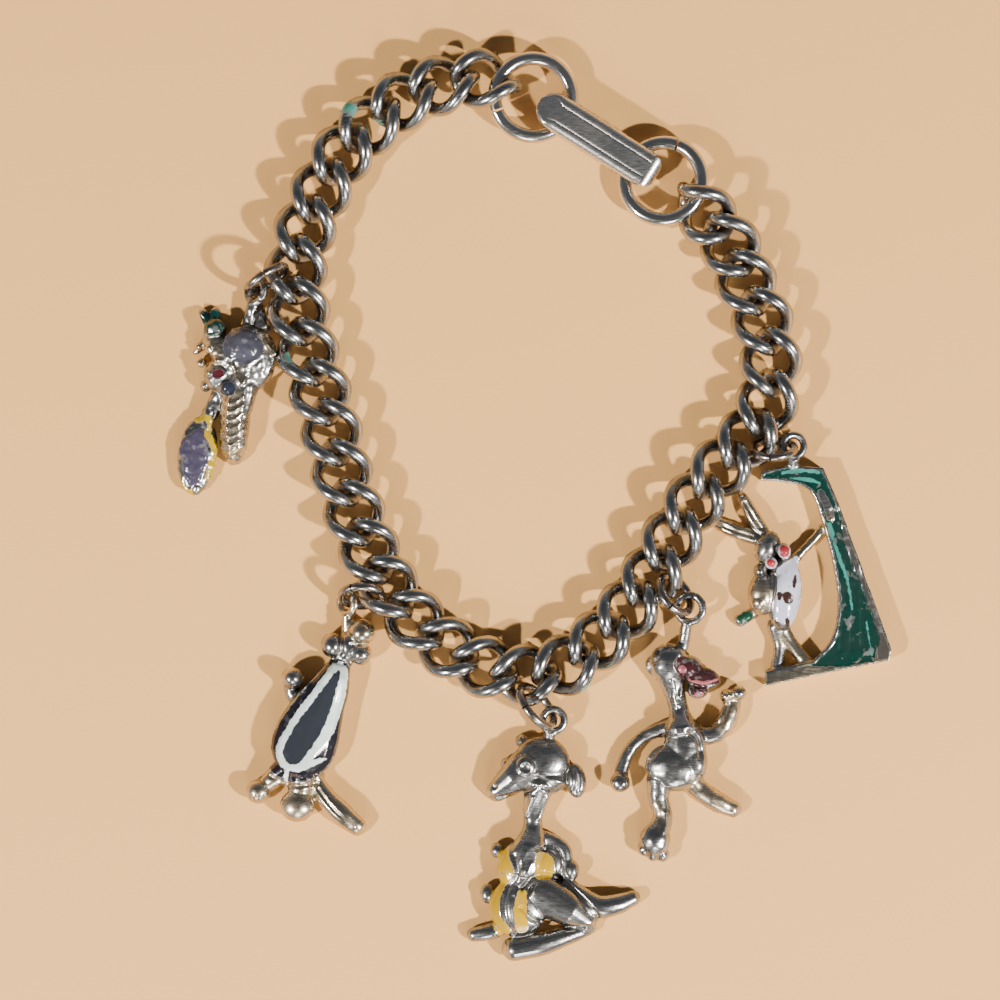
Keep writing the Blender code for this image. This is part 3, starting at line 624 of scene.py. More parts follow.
RING_SEAT = KNUCKLE_RADIUS + SHEET / 2 + RING_WIRE / 2 + SEAT_CLEARANCE
print(f"clasp cover from {COVER_END:.2f} to {COVER_TIP:.2f} mm, top at {COVER_TOP:.2f} mm")


# %% [markdown]
# Solidify thickens the middle of the sheet to both sides by the same amount, and Bevel rounds only the
# edges that are sharper than 50 degrees, which are the sheet's own cut edges.

# %% Sheet metal pieces
def sheet_piece(name, grids):
    """Thickens grids of points on the middle of a sheet, and rounds its edges."""
    maker = bmesh.new()
    for grid in grids:
        rows = [[maker.verts.new(point * MM) for point in row] for row in grid]
        for before, after in zip(rows, rows[1:]):
            for i in range(len(before) - 1):
                maker.faces.new((before[i], before[i + 1], after[i + 1], after[i]))
    sheet = bpy.data.meshes.new(name)
    maker.to_mesh(sheet)
    maker.free()
    holder = new_holder(name + "_sheet", sheet)
    thick = holder.modifiers.new("thickness", "SOLIDIFY")
    thick.thickness = SHEET * MM
    thick.offset = 0
    thick.use_even_offset = True
    worn = holder.modifiers.new("worn edges", "BEVEL")
    worn.width = WORN_EDGE * MM
    worn.segments = 3
    worn.angle_limit = math.radians(50)
    mesh = result_of(holder)
    mesh.materials.append(CLASP_METAL)
    return piece_of(name, mesh, 50)


def eased(value, start, end):
    """0 before the start, 1 after the end, smooth between."""
    share = min(max((value - start) / (end - start), 0.0), 1.0)
    return share * share * (3 - 2 * share)


print("sheet metal:", SHEET, "mm thick")


# %% [markdown]
# The cover's grid has a row for each place along the clasp. In a row the plate is level, with a fine crease
# beside each roll where the sheet was bent, and the flanges hang down only between the two large rings.

# %% The cover's plate, rolls and flanges
def cover_section(along, height, half_width, drop):
    """One cross row of the cover: flange, roll, plate, roll and flange. The tab is left flat."""
    row = []
    tab = eased(along, COVER_TIP - TAB_FLAT[0], COVER_TIP - TAB_FLAT[1])
    roll = min(ROLL, half_width * 0.6) * (1 - 0.6 * tab)
    crease = CREASE * (1 - tab)
    for side in (-1, 1):
        flank = [(side * half_width, height - roll - depth) for depth in np.linspace(drop, 0, 5)[:-1]]
        for step in range(7):
            angle = math.pi / 2 * step / 6
            reach = half_width - roll + roll * math.cos(angle)
            flank.append((side * reach, height - roll + roll * math.sin(angle)))
        row.append(flank)
    flat = half_width - roll
    plate_line = [(x, height - crease * math.exp(-((abs(x) - flat + CREASE_INSET) / CREASE_WIDTH) ** 2))
                  for x in np.linspace(-flat, flat, 41)[1:-1]]
    section = [*row[0], *plate_line, *reversed(row[1])]
    return [clasp_point(along, across, z) for across, z in section]


def cover_reach(along):
    """The cover's half width near the hinge, where its corners are rounded in plan."""
    turned_in = min(max(1 - (along - COVER_END) / END_CORNER, 0.0), 1.0)
    return COVER_WIDTH / 2 - SHEET / 2 - END_NARROWING * (1 - math.sqrt(1 - turned_in ** 2))


def cover_grid():
    """The cover from its tab to the rolled-down end; the flanges leave both large rings room."""
    top = COVER_TOP - SHEET / 2
    full = COVER_WIDTH / 2 - SHEET / 2
    flange_start = RING_SEAT + RING_WIRE / 2 + FLANGE_GAP
    flange_end = HOOK_MIDDLE - RING_WIRE / 2 - FLANGE_GAP
    tab_start = COVER_TIP - SHEET / 2 - TAB_LENGTH
    grid = []
    tip = COVER_TIP - SHEET / 2
    stations = [tip - TAB_LENGTH * (1 - math.sin(math.pi / 2 * i / 14)) for i in range(15)][::-1]
    stations += list(np.linspace(stations[-1], COVER_END + END_ROLL + SHEET / 2, 60)[1:])
    for along in stations:
        share = max((along - tab_start) / TAB_LENGTH, 0.0)
        half_width = min(full * max(math.sqrt(max(1 - share ** 2, 0.0)), 0.3), cover_reach(along))
        drop = (FLANGE_DROP - ROLL - SHEET / 2) * eased(along, flange_start - 0.25, flange_start + 0.1)
        drop *= 1 - eased(along, flange_end - 0.1, flange_end + 0.25)
        grid.append(cover_section(along, top - TAB_DIP * share ** 2, half_width, drop + 0.02))
    return grid


print("cover rows:", len(cover_grid()))


# %% [markdown]
# At the hinge the plate rolls down into an end wall, as wide as the ears. The ears run forward from it and
# end in a round nose about the pin. The base strip starts as a knuckle round the pin and ends in the open
# hook.

# %% The cover's end and ears
def end_grid():
    """The rolled-down end: an arc from the plate to the end wall, narrowing to the ears' width."""
    top = COVER_TOP - SHEET / 2
    wall = COVER_END + SHEET / 2
    ear = EAR_SPACING / 2 - SHEET / 2
    grid = []
    for step in range(9):
        angle = math.pi / 2 * step / 8
        along = wall + END_ROLL * (1 - math.sin(angle))
        height = top - END_ROLL * (1 - math.cos(angle))
        wide = cover_reach(along)
        half = wide + (ear - wide) * eased(step / 8, 0.45, 1.0)
        grid.append([clasp_point(along, across, height) for across in np.linspace(-half, half, 9)])
    for height in np.linspace(top - END_ROLL, PIN_HEIGHT - 0.45, 6)[1:]:
        grid.append([clasp_point(wall, across, height) for across in np.linspace(-ear, ear, 9)])
    return grid


def ear_grid(side):
    """An ear: a wall that runs forward from the end wall to a round nose about the pin."""
    across = side * (EAR_SPACING / 2 - SHEET / 2)
    wall = COVER_END + SHEET / 2
    grid = []
    nose = [EAR_RADIUS * math.sin(math.pi / 2 * i / 6) for i in range(6)]
    for along in [*np.linspace(wall, 0, 5)[:-1], *nose]:
        reach = math.sqrt(max(EAR_RADIUS ** 2 - max(along, 0) ** 2, 0.01))
        rows = [PIN_HEIGHT + share * reach for share in (-0.75, -0.4, 0, 0.4, 0.9)]
        grid.append([clasp_point(along, across, height) for height in rows])
    return grid


cover = sheet_piece("clasp_cover_sheet", [cover_grid(), end_grid(), ear_grid(-1), ear_grid(1)])
placed(cover, "cover", "bright_metal", "clasp_cover")


# %% [markdown]
# The base is one strip in side view: knuckle, floor and hook. The faces of a tube, for the pin and for the
# castings, join each ring of corners to the next and close the ends.

# %% The clasp's base
def tube_faces(count, sides, closed=False):
    faces = []
    for i in range(count if closed else count - 1):
        after = (i + 1) % count
        for j in range(sides):
            k = (j + 1) % sides
            faces.append((i * sides + j, i * sides + k, after * sides + k, after * sides + j))
    if not closed:
        faces += [tuple(range(sides)), tuple((count - 1) * sides + j for j in range(sides))]
    return faces


def curl(middle_along, middle_height, radius, start, sweep, flats):
    """Points of a curl in the clasp's side view."""
    points = []
    for i in range(flats + 1):
        angle = math.radians(start + sweep * i / flats)
        points.append((middle_along + radius * math.cos(angle), middle_height + radius * math.sin(angle)))
    return points


def base_grid():
    """The base strip, narrow between the ears and wider along the floor and the hook."""
    knuckle = curl(0, PIN_HEIGHT, KNUCKLE_RADIUS, 0, 270, 27)
    hook = curl(HOOK_MIDDLE, HOOK_RADIUS + SHEET / 2, HOOK_RADIUS, -90, 190, 22)
    narrow = EAR_SPACING / 2 - SHEET - HINGE_CLEARANCE
    floor = [(along, SHEET / 2) for along in np.linspace(0.4, HOOK_MIDDLE, 24)[1:-1]]
    grid = []
    for along, height in [*knuckle, *floor, *hook]:
        half = narrow + (BASE_WIDTH / 2 - narrow) * eased(along, 0.95, 1.5)
        grid.append([clasp_point(along, across, height) for across in np.linspace(-half, half, 7)])
    return grid


base = sheet_piece("clasp_base_strip", [base_grid()])
placed(base, "bracelet", "bright_metal", "clasp_base")


# %% [markdown]
# The pin is a rod whose ends are riveted into low domes that stand a little proud of the ears.

# %% The hinge pin
def pin_mesh(length, radius, sides=28):
    """A round pin whose ends are riveted into low domes."""
    rows = [(-length / 2, 0.02), (-length / 2 + 0.03, radius * 0.7), (-length / 2 + 0.09, radius)]
    rows += [(-along, across) for along, across in reversed(rows)]
    points = []
    for across, reach in rows:
        for j in range(sides):
            angle = math.tau * j / sides
            height = PIN_HEIGHT + reach * math.sin(angle)
            points.append(clasp_point(reach * math.cos(angle), across, height) * MM)
    mesh = bpy.data.meshes.new("pin")
    mesh.from_pydata(points, [], tube_faces(len(rows), sides))
    maker = bmesh.new()
    maker.from_mesh(mesh)
    bmesh.ops.recalc_face_normals(maker, faces=maker.faces)
    maker.to_mesh(mesh)
    maker.free()
    mesh.materials.append(JUMP_METAL)
    return mesh


pin = piece_of("clasp_pin_rod", pin_mesh(EAR_SPACING + PIN_HEADS, PIN_DIAMETER / 2))
placed(pin, "bracelet", "dark_metal", "clasp_pin")


# %% [markdown]
# A charm is a casting: rounded lumps and limbs that flow into one another, with the model maker's strokes
# on top. Joining forms with booleans would leave hard creases, so the forms are laid into each other,
# wrapped in one skin by a voxel remesh and smoothed, which fills the corners the way wax and metal do. The
# numbers of a form are hundredths of the charm's length, measured from the middle of its eye, as they are
# in the model's own source.

# %% Forms that a charm is cast from
CHARM_THICKNESS = 3.4
EYE_WIRE = 0.85
EYE_STEPS = 40
SHANK_WIDTH = 1.3
SHANK_FOOT_HEIGHT = 0.85
VOXEL = 0.115
LIMB_ROUNDING = ((0.35, 0.94), (0.65, 0.76), (0.88, 0.47), (0.98, 0.20))


def smooth_line(points, steps=5, closed=False):
    """Points along a Catmull-Rom curve through rows of numbers."""
    rows = [np.array(point, float) for point in points]
    ends = [rows[-1], *rows, rows[0], rows[1]]
    if not closed:
        ends = [2 * rows[0] - rows[1], *rows, 2 * rows[-1] - rows[-2]]
    fine = []
    for a, b, c, d in zip(ends, ends[1:], ends[2:], ends[3:]):
        for t in np.arange(steps) / steps:
            fine.append(0.5 * (2 * b + (c - a) * t + (2 * a - 5 * b + 4 * c - d) * t ** 2
                               + (3 * b - a - 3 * c + d) * t ** 3))
    return fine if closed else [*fine, rows[-1]]


def round_bar(path, radius, sides, centre, closed=False):
    """A round wire or bar along a few points."""
    points = []
    for i, here in enumerate(path):
        before = path[i - 1] if closed or i else here
        after = path[(i + 1) % len(path)] if closed or i < len(path) - 1 else here
        along = (after - before).normalized()
        outward = here - centre
        outward = (outward - outward.dot(along) * along).normalized()
        across = along.cross(outward)
        for j in range(sides):
            angle = math.tau * j / sides
            points.append(here + radius * (math.cos(angle) * outward + math.sin(angle) * across))
    return points, tube_faces(len(path), sides, closed)


print("limbs end in", len(LIMB_ROUNDING), "rounding sections")


# %% [markdown]
# There are three forms, and they all rest on the table, as the real charms do. A lump is an ellipsoid. Its
# row says x, y, half width, half height, turn in degrees and share of the casting's thickness. A limb is a
# line of rows, each with x, y and half width. A plate is an outline and a thickness.

# %% Lumps, limbs and plates
def lump(origin, unit, x, y, half_width, half_height, turn, share, sides=30, rings=16):
    """A rounded lump that rests on the table: an ellipsoid turned in plan."""
    rise = share * CHARM_THICKNESS / 2
    across = half_width * unit * turned(turn)
    upward = half_height * unit * turned(turn + 90)
    centre = origin + unit * Vector((x, y, 0)) + rise * UP
    points = []
    for i in range(1, rings):
        tilt = math.pi * i / rings
        for j in range(sides):
            angle = math.tau * j / sides
            level = math.sin(tilt) * (math.cos(angle) * across + math.sin(angle) * upward)
            points.append(centre + level - rise * math.cos(tilt) * UP)
    return points, tube_faces(rings - 1, sides)


def limb(origin, unit, rows, sides=16):
    """A tapered, round-ended limb that rests on the table."""
    route = smooth_line(rows, 6)

    def rounding(tip, inner):
        outward = (tip - inner)[:2] / np.linalg.norm((tip - inner)[:2])
        return [(tip[:2] + past * tip[2] * outward, width * tip[2]) for past, width in LIMB_ROUNDING]

    sections = rounding(route[0], route[1])[::-1]
    sections += [(point[:2], point[2]) for point in route]
    sections += rounding(route[-1], route[-2])
    points = []
    for i, (place, half_width) in enumerate(sections):
        run = sections[min(i + 1, len(sections) - 1)][0] - sections[max(i - 1, 0)][0]
        along = Vector((*run, 0)).normalized()
        across = float(half_width) * unit * UP.cross(along)
        rise = min(float(half_width) * unit, CHARM_THICKNESS / 2)
        middle = origin + unit * Vector((*place, 0)) + rise * UP
        for j in range(sides):
            angle = math.tau * j / sides
            points.append(middle + math.cos(angle) * across + math.sin(angle) * rise * UP)
    return points, tube_faces(len(sections), sides)


def plate(origin, unit, outline, thickness):
    """A flat plate that rests on the table, from its outline."""
    count = len(outline)
    points = [origin + unit * Vector((x, y, 0)) + z * UP for z in (0, thickness) for x, y in outline]
    return points, tube_faces(2, count)


print("forms: lump, limb and plate")


# %% [markdown]
# Each charm hangs from its own cast eye. The eye's middle lies on the jump ring's wire, its plane holds the
# direction to the charm, and a short neck joins it to the casting. Then all forms get one skin.

# %% Eye, neck and skin
def eye_and_shank(spec, shank, unit):
    """The charm's own ring, threaded on its jump ring, and the neck that joins it to the casting."""
    centre, first, second, radius = jump_ring_pose(spec)
    angle = math.radians(spec["eye_angle"])
    middle = centre + radius * (math.cos(angle) * first + math.sin(angle) * second)
    threaded = math.cos(angle) * second - math.sin(angle) * first
    to_charm = Vector((*shank, 0)).normalized()
    normal = (threaded - threaded.dot(to_charm) * to_charm).normalized()
    aside = normal.cross(to_charm)
    eye_radius = (spec["eye_hole"] + EYE_WIRE) / 2
    path = []
    for i in range(EYE_STEPS):
        turn = math.tau * i / EYE_STEPS
        path.append(middle + eye_radius * (math.cos(turn) * to_charm + math.sin(turn) * aside))
    ring = round_bar(path, EYE_WIRE / 2, 14, middle, closed=True)
    origin = Vector((middle.x, middle.y, 0))
    top = middle + eye_radius * to_charm
    foot = origin + unit * Vector((*shank, 0)) + SHANK_FOOT_HEIGHT * UP
    neck = round_bar([top, foot], SHANK_WIDTH / 2, 16, top - UP)
    return origin, ring, neck


def cast(name, shells):
    """One smooth skin round all the forms."""
    maker = bmesh.new()
    for points, faces in shells:
        corners = [maker.verts.new(Vector(point) * MM) for point in points]
        for face in faces:
            maker.faces.new([corners[i] for i in face])
    bmesh.ops.recalc_face_normals(maker, faces=maker.faces)
    wax = bpy.data.meshes.new(name + "_wax")
    maker.to_mesh(wax)
    maker.free()
    holder = new_holder(name + "_wax", wax)
    skin = holder.modifiers.new("skin", "REMESH")
    skin.mode = "VOXEL"
    skin.voxel_size = VOXEL * MM
    soft = holder.modifiers.new("soft", "SMOOTH")
    soft.factor = 0.5
    soft.iterations = 5
    mesh = result_of(holder)
    mesh.name = name
    return mesh


print("casting: skin of", VOXEL, "mm cells")


# %% [markdown]
# The strokes are laid on the cast skin as heights along its normals: grooves, ridges, domes and a fine
# hammered unevenness that breaks up the highlights. Enamel lies in cells. Each cell's border is kept on the
# mesh as the distance to it in millimetres, because a distance gives a clean edge between two points of the
# mesh, where a plain yes or no would show the mesh's steps.

# %% Working a charm's surface
def line_distance(plan, line):
    """How far each point lies from a line of points."""
    nearest = np.full(len(plan), 1e9)
    for a, b in zip(line, line[1:]):
        a, b = np.array(a[:2], float), np.array(b[:2], float)
        run = b - a
        share = np.clip(((plan - a) @ run) / max(run @ run, 1e-9), 0, 1)
        nearest = np.minimum(nearest, np.linalg.norm(plan - (a + share[:, None] * run), axis=1))
    return nearest


print("distances are measured in hundredths of a charm's length")


# %% [markdown]
# The casting is kept as numbers while it is worked: where each point lies in plan, how far it looks up, and
# the height that the strokes have given it so far. Only the upper side is worked, because the flat back
# rests on the table.

# %% A charm while it is worked
class Charm:
    """A casting while it is worked; plan places are in hundredths of its length."""

    def __init__(self, name, spec, length, shank, lumps, limbs, plates=()):
        self.name = name
        self.unit = length / 100
        self.origin, ring, neck = eye_and_shank(spec, shank, self.unit)
        shells = [lump(self.origin, self.unit, *row) for row in lumps]
        shells += [limb(self.origin, self.unit, rows) for rows in limbs]
        shells += [plate(self.origin, self.unit, *row) for row in plates]
        self.mesh = cast(name, [*shells, ring, neck])
        self.points = np.array([vertex.co for vertex in self.mesh.vertices]) / MM
        self.normals = np.array([vertex.normal for vertex in self.mesh.vertices])
        self.plan = (self.points[:, :2] - np.array(self.origin.xy)) / self.unit
        self.upper = np.clip((self.normals[:, 2] - 0.05) / 0.4, 0, 1)
        self.height = np.zeros(len(self.points))
        print(f"{name}: cast, {len(self.points)} points")

    def inside(self, outline):
        """Distance to an outline: positive inside it, negative outside."""
        closed = [*outline, outline[0]]
        inside = np.zeros(len(self.plan), bool)
        for (x0, y0), (x1, y1) in zip(closed, closed[1:]):
            if y0 != y1:
                spans = (self.plan[:, 1] > min(y0, y1)) & (self.plan[:, 1] <= max(y0, y1))
                crossing = x0 + (self.plan[:, 1] - y0) * (x1 - x0) / (y1 - y0)
                inside ^= spans & (self.plan[:, 0] < crossing)
        return np.where(inside, 1, -1) * line_distance(self.plan, closed)

    def oval(self, x, y, half_width, half_height, turn=0.0):
        """Distance to the border of an oval, positive inside it."""
        outline = []
        for i in range(48):
            angle = math.tau * i / 48
            across = half_width * math.cos(angle) * turned(turn)
            upward = half_height * math.sin(angle) * turned(turn + 90)
            outline.append(tuple((Vector((x, y, 0)) + across + upward).xy))
        return self.inside(outline)

    def ribbon(self, rows, closed=False):
        """Distance to the border of a ribbon with rows of (x, y, half width), positive inside it."""
        line = smooth_line(rows, 6, closed)
        line = [*line, line[0]] if closed else line
        deepest = np.full(len(self.plan), -1e9)
        for a, b in zip(line, line[1:]):
            run = b[:2] - a[:2]
            share = np.clip(((self.plan - a[:2]) @ run) / max(run @ run, 1e-9), 0, 1)
            aside = np.linalg.norm(self.plan - (a[:2] + share[:, None] * run), axis=1)
            deepest = np.maximum(deepest, a[2] + share * (b[2] - a[2]) - aside)
        return deepest

    def strokes(self, *rows):
        """Grooves and ridges along smooth lines: rows of (line, width, height in millimetres)."""
        for line, width, height in rows:
            distance = line_distance(self.plan, smooth_line(line, 6))
            self.height += height * np.exp(-(distance / width) ** 2) * self.upper

    def dome(self, x, y, radius, height):
        distance = np.linalg.norm(self.plan - (x, y), axis=1)
        self.height += height * np.sqrt(np.clip(1 - (distance / radius) ** 2, 0, 1)) * self.upper

    def hammer(self, size, height):
        """Gentle unevenness all over, of a size in millimetres."""
        heights = [noise.noise(Vector(point) / size) for point in self.points]
        self.height += height * np.array(heights)

    def keep(self, title, values):
        """Keeps a value at each point of the mesh, under a title that the material reads."""
        kept = self.mesh.attributes.new(title, "FLOAT", "POINT")
        kept.data.foreach_set("value", values.astype(np.float32))

    def cell(self, title, depth, rim=0.05, sink=0.06):
        """Keeps an enamel cell's border distance on the mesh, sinks the cell and raises a rim round it."""
        depth = depth * self.unit
        self.height += (rim * np.exp(-(depth / 0.14) ** 2) - sink * np.clip(depth / 0.2, 0, 1)) * self.upper
        level = np.minimum(depth, (self.normals[:, 2] - 0.12) * 2.0)
        self.keep(title, level)

    def worn(self, *depths):
        """Keeps on the mesh where the plating is worn to warm metal: a soft share of 0 to 1."""
        share = np.clip(np.max(depths, axis=0) * self.unit / 0.7 + 0.5, 0, 1)
        self.keep("worn", share)

    def finished(self, finish):
        worked = (self.points + self.normals * self.height[:, None]) * MM
        worked[:, 2] = np.maximum(worked[:, 2], 0)
        self.mesh.vertices.foreach_set("co", worked.astype(np.float32).ravel())
        self.mesh.update()
        self.mesh.materials.clear()
        self.mesh.materials.append(finish)
        placed(piece_of(self.name + "_cast", self.mesh, 180), "bracelet", "cast_metal", self.name)


print("strokes, domes and cells are ready")


# %% [markdown]
# Enamel is coloured glass melted into the cells. Here it is old: its colour varies, its edge has chips, and
# it is as smooth as glass beside the metal. The group turns a border distance into a mask with a ragged
# edge, and the charm's material lays one mask over the other. The metal round it is warm, where plating has
# worn thin.

# %% Shader group: old enamel
def old_enamel_group():
    tree, given, out = new_group("old enamel", "ShaderNodeTree", [
        ("Border Distance", FLOAT, "INPUT", 0.0),
        ("Colour", COLOR, "INPUT", (1, 1, 1, 1)),
        ("Chips", FLOAT, "INPUT", 0.5),
        ("Mask", FLOAT, "OUTPUT", None),
        ("Shade", COLOR, "OUTPUT", None),
    ])
    place = add(tree, "ShaderNodeTexCoord").outputs["Object"]
    ragged = add(tree, "ShaderNodeTexNoise", {"Vector": place, "Scale": 1900.0, "Detail": 3.0}).outputs["Fac"]
    chip = add(tree, "ShaderNodeTexNoise", {"Vector": place, "Scale": 900.0, "Detail": 2.0}).outputs["Fac"]
    cloud = add(tree, "ShaderNodeTexNoise", {"Vector": place, "Scale": 420.0, "Detail": 4.0}).outputs["Fac"]
    edge = sums(tree, "ADD", given.outputs["Border Distance"], spread(tree, ragged, 0.3, 0.7, -0.09, 0.09))
    lost = times(tree, spread(tree, chip, 0.60, 0.68), given.outputs["Chips"])
    mask = sums(tree, "SUBTRACT", spread(tree, edge, 0.0, 0.07), lost, clamp=True)
    deep = mixed(tree, 0.55, given.outputs["Colour"], (0.02, 0.02, 0.02, 1))
    shade = mixed(tree, spread(tree, cloud, 0.35, 0.75, 0.0, 0.6), given.outputs["Colour"], deep)
    join(tree, out, {"Mask": mask, "Shade": shade})
    return tree


OLD_ENAMEL = old_enamel_group()
CAST_METAL = dict(bright=(0.365, 0.36, 0.35), tarnish_and_shade=(0.075, 0.065, 0.052),
                  grime_and_shade=1.0, polish=0.19, reach=0.7, bump=0.35)
WARM_METAL = (0.58, 0.48, 0.33, 1)
WARMTH = 0.75
ENAMEL_ROUGHNESS = 0.2
GLAZE = 0.6


def enamelled(name, cells, chips):
    """The cast metal with enamel over it, from rows of (cell, colour)."""
    finish = metal(name, **CAST_METAL)
    tree = finish.node_tree
    shader = tree.nodes["Principled BSDF"]
    colour = shader.inputs["Base Color"].links[0].from_socket

    def kept(title):
        """A value that the mesh keeps at each of its points."""
        node = add(tree, "ShaderNodeAttribute", attribute_name=title, attribute_type="GEOMETRY")
        return node.outputs["Fac"]

    colour = mixed(tree, times(tree, kept("worn"), WARMTH), colour, WARM_METAL)
    rough = shader.inputs["Roughness"].links[0].from_socket
    bare = shader.inputs["Metallic"].links[0].from_socket
    glass = 0.0
    for title, shade in cells:
        enamel = add(tree, "ShaderNodeGroup", node_tree=OLD_ENAMEL)
        join(tree, enamel, {"Border Distance": kept(title), "Colour": (*shade, 1), "Chips": chips})
        mask = enamel.outputs["Mask"]
        open_metal = sums(tree, "SUBTRACT", 1.0, mask)
        colour = mixed(tree, mask, colour, enamel.outputs["Shade"])
        bare = times(tree, bare, open_metal)
        rough = sums(tree, "ADD", times(tree, rough, open_metal), times(tree, mask, ENAMEL_ROUGHNESS))
        glass = sums(tree, "MAXIMUM", glass, mask)
    join(tree, shader, {"Base Color": colour, "Roughness": rough, "Metallic": bare,
                        "Coat Weight": times(tree, glass, GLAZE), "Coat Roughness": 0.08,
                        "Specular IOR Level": 0.25})
    return finish


print("shader group:", OLD_ENAMEL.name, "over", WARM_METAL[:3], "where plating is worn")


# %% [markdown]
# The peacock hangs head up on the left: a round body with a breast cell of slate enamel, a small green
# crested head, and two tail feathers, one short and ribbed, one long and ending in its eye of violet
# enamel. Of that feather's yellow border only the wavy right side and a bit at the tip are left.

# %% Peacock: casting
peacock = Charm(
    "charm_peacock", JUMP_RINGS[0], 20.0, (-5, -20),
    lumps=[
        (-4, -37, 15, 18.5, -15, 1.0), (-6.3, -30, 12, 11, -10, 1.1), (-22, -20, 6.2, 5.4, 0, 0.85),
        (-20, -45, 8, 9, 0, 0.9), (-29.3, -38.3, 2.8, 2.6, 0, 0.5), (-20.5, -37.4, 3, 2.6, 0, 0.95),
        (-14.4, -51.8, 6.4, 5.6, 0, 1.0), (-27.4, -50.8, 3, 3, 0, 0.6),
        (-31.5, -88, 10.5, 21.5, -8, 0.55),
    ],
    limbs=[
        [(-14, -36, 8), (-21, -29, 6.5), (-23, -21, 5.5)],
        [(-24, -24, 3.4), (-29, -29, 2.6), (-33, -33, 1.4)],
        [(-26, -16, 2.8), (-28.5, -11.5, 2.6)],
        [(-22.5, -15, 2.8), (-22, -10.5, 2.6)],
        [(2, -9, 2.4), (3, -19, 5)],
        [(-8, -50, 10), (-11, -66, 8.3), (-12, -82, 7.4), (-12, -88, 5.5)],
        [(-18, -54, 5.5), (-24, -64, 4.4), (-28, -73, 4.4)],
    ],
)


# %% [markdown]
# Its surface is more uneven than the others', so it is hammered more. Ribs cross the short feather, the
# studs are domes, and where the plating is worn the metal is warm.

# %% Peacock: strokes and enamel
peacock.hammer(0.6, 0.11)
for line in ([(2.5, -23), (9.5, -34)], [(11, -23), (9.5, -34)], [(3, -23), (12, -24.5)]):
    peacock.strokes((line, 0.9, 0.22))
peacock.strokes(
    ([(-12, -39.5), (-7, -50), (-3.5, -39)], 1.0, 0.18),
    ([(-13, -56), (-15, -70), (-13.5, -88)], 1.0, 0.14),
)
for i in range(7):
    y = -59 - 4.4 * i
    peacock.strokes(([(-18.5, y + 2), (-13.5, y - 1.5), (-6.5, y + 2.2)], 0.75, 0.09))
STUDS = [(-26, -31.5, 2.6), (-31, -29.7, 1.6), (-29.3, -38.3, 2), (-25, -44, 1.6), (-31.7, -106.3, 2.6)]
for x, y, radius in STUDS:
    peacock.dome(x, y, radius, 0.24)
peacock.worn(peacock.oval(-26, -34, 8, 9), peacock.ribbon([(-12, -58, 6), (-13, -88, 5)]),
             peacock.ribbon([(-11, -41, 2), (-7, -48, 2)]), peacock.oval(8, -28, 7, 6))
peacock.cell("breast", peacock.oval(-6.3, -29.5, 10.8, 9.6, -10), sink=0.0)
peacock.cell("wing", peacock.oval(-14.4, -52.4, 4.6, 3.8, 10), sink=-0.08)
peacock.cell("maroon", peacock.oval(-19.7, -44.3, 3.6, 2.6, 20))
peacock.cell("head", peacock.oval(-23.6, -16.6, 7.4, 7, 0), sink=0.0)
feather_eye = np.maximum(peacock.oval(-32.3, -89, 6.6, 15.5, -8),
                         peacock.oval(-37.3, -83, 4, 6, -25))
border = peacock.ribbon([
    (-31.5, -69.3, 1.7), (-27, -67.6, 1.9), (-24.3, -71, 2.0), (-26, -76.5, 1.8), (-23.6, -80, 2.1),
    (-22.4, -83.5, 2.3), (-20.9, -87.5, 2.3), (-22.8, -91.5, 2.3), (-24.6, -96, 2.1), (-25.2, -100.5, 1.6),
])
tip_border = peacock.ribbon([(-40.5, -102.5, 1.8), (-38.6, -106.5, 2.4), (-35.5, -108, 2.0)])
peacock.cell("feather_eye", feather_eye, rim=0.02, sink=-0.12)
border = np.minimum(np.maximum(border, tip_border), -20.2 - peacock.plan[:, 0])
peacock.cell("feather_border", border, rim=0.02, sink=-0.06)
peacock.finished(enamelled("peacock casting", [
    ("breast", (0.048, 0.048, 0.066)), ("wing", (0.016, 0.020, 0.032)), ("maroon", (0.055, 0.008, 0.012)),
    ("head", (0.001, 0.024, 0.020)), ("feather_eye", (0.050, 0.042, 0.072)),
    ("feather_border", (0.42, 0.27, 0.0)),
], chips=0.35))


# %% [markdown]
# The skunk hangs by the knobs of its head. Its back is a clean teardrop of black enamel with the white
# stripe as a loop round a slate panel, and paws and tail are left bare. The stripe is a ribbon of changing
# width.

# %% Skunk: casting
skunk = Charm(
    "charm_skunk", JUMP_RINGS[1], 24.0, (0, -15),
    lumps=[
        (1, -19.5, 6, 6.4, 0, 0.8), (6.6, -13, 6.2, 5.8, 0, 0.95), (-6.6, -18.8, 5.2, 5.6, 0, 0.9),
        (6.2, -22.8, 5, 5, 0, 0.9), (-24.4, -33.4, 5.2, 4.8, 0, 0.95), (-39.8, -84.3, 5.5, 5.5, 0, 0.75),
        (-22.3, -90.6, 7.9, 7.3, 0, 0.9),
    ],
    limbs=[
        [(-3, -27, 4.8), (-4.8, -31, 6.6), (-8, -38, 9.2), (-12.4, -46, 11.7), (-16.7, -56, 14.2),
         (-19.4, -64, 14.8)],
        [(0, -20, 5), (-2.5, -27, 4.6)],
        [(-24.8, -36, 3.8), (-24.4, -41, 3.4), (-19, -46.5, 3.6)],
        [(-29, -75, 5.5), (-37, -82, 3.8)],
        [(-20, -76, 6.5), (-21.5, -86, 5.2)],
        [(-31, -76, 4), (-22, -79.5, 4.2), (-14, -78, 4)],
        [(-15, -78.5, 3.6), (-9.5, -87, 4.7), (-2, -94.6, 5.2), (4.4, -100, 4.4)],
    ],
)


# %% [markdown]
# Grooves part the paws and the head's knobs. The coat's cell comes first, then the panel inside the loop,
# and the stripe lies over both.

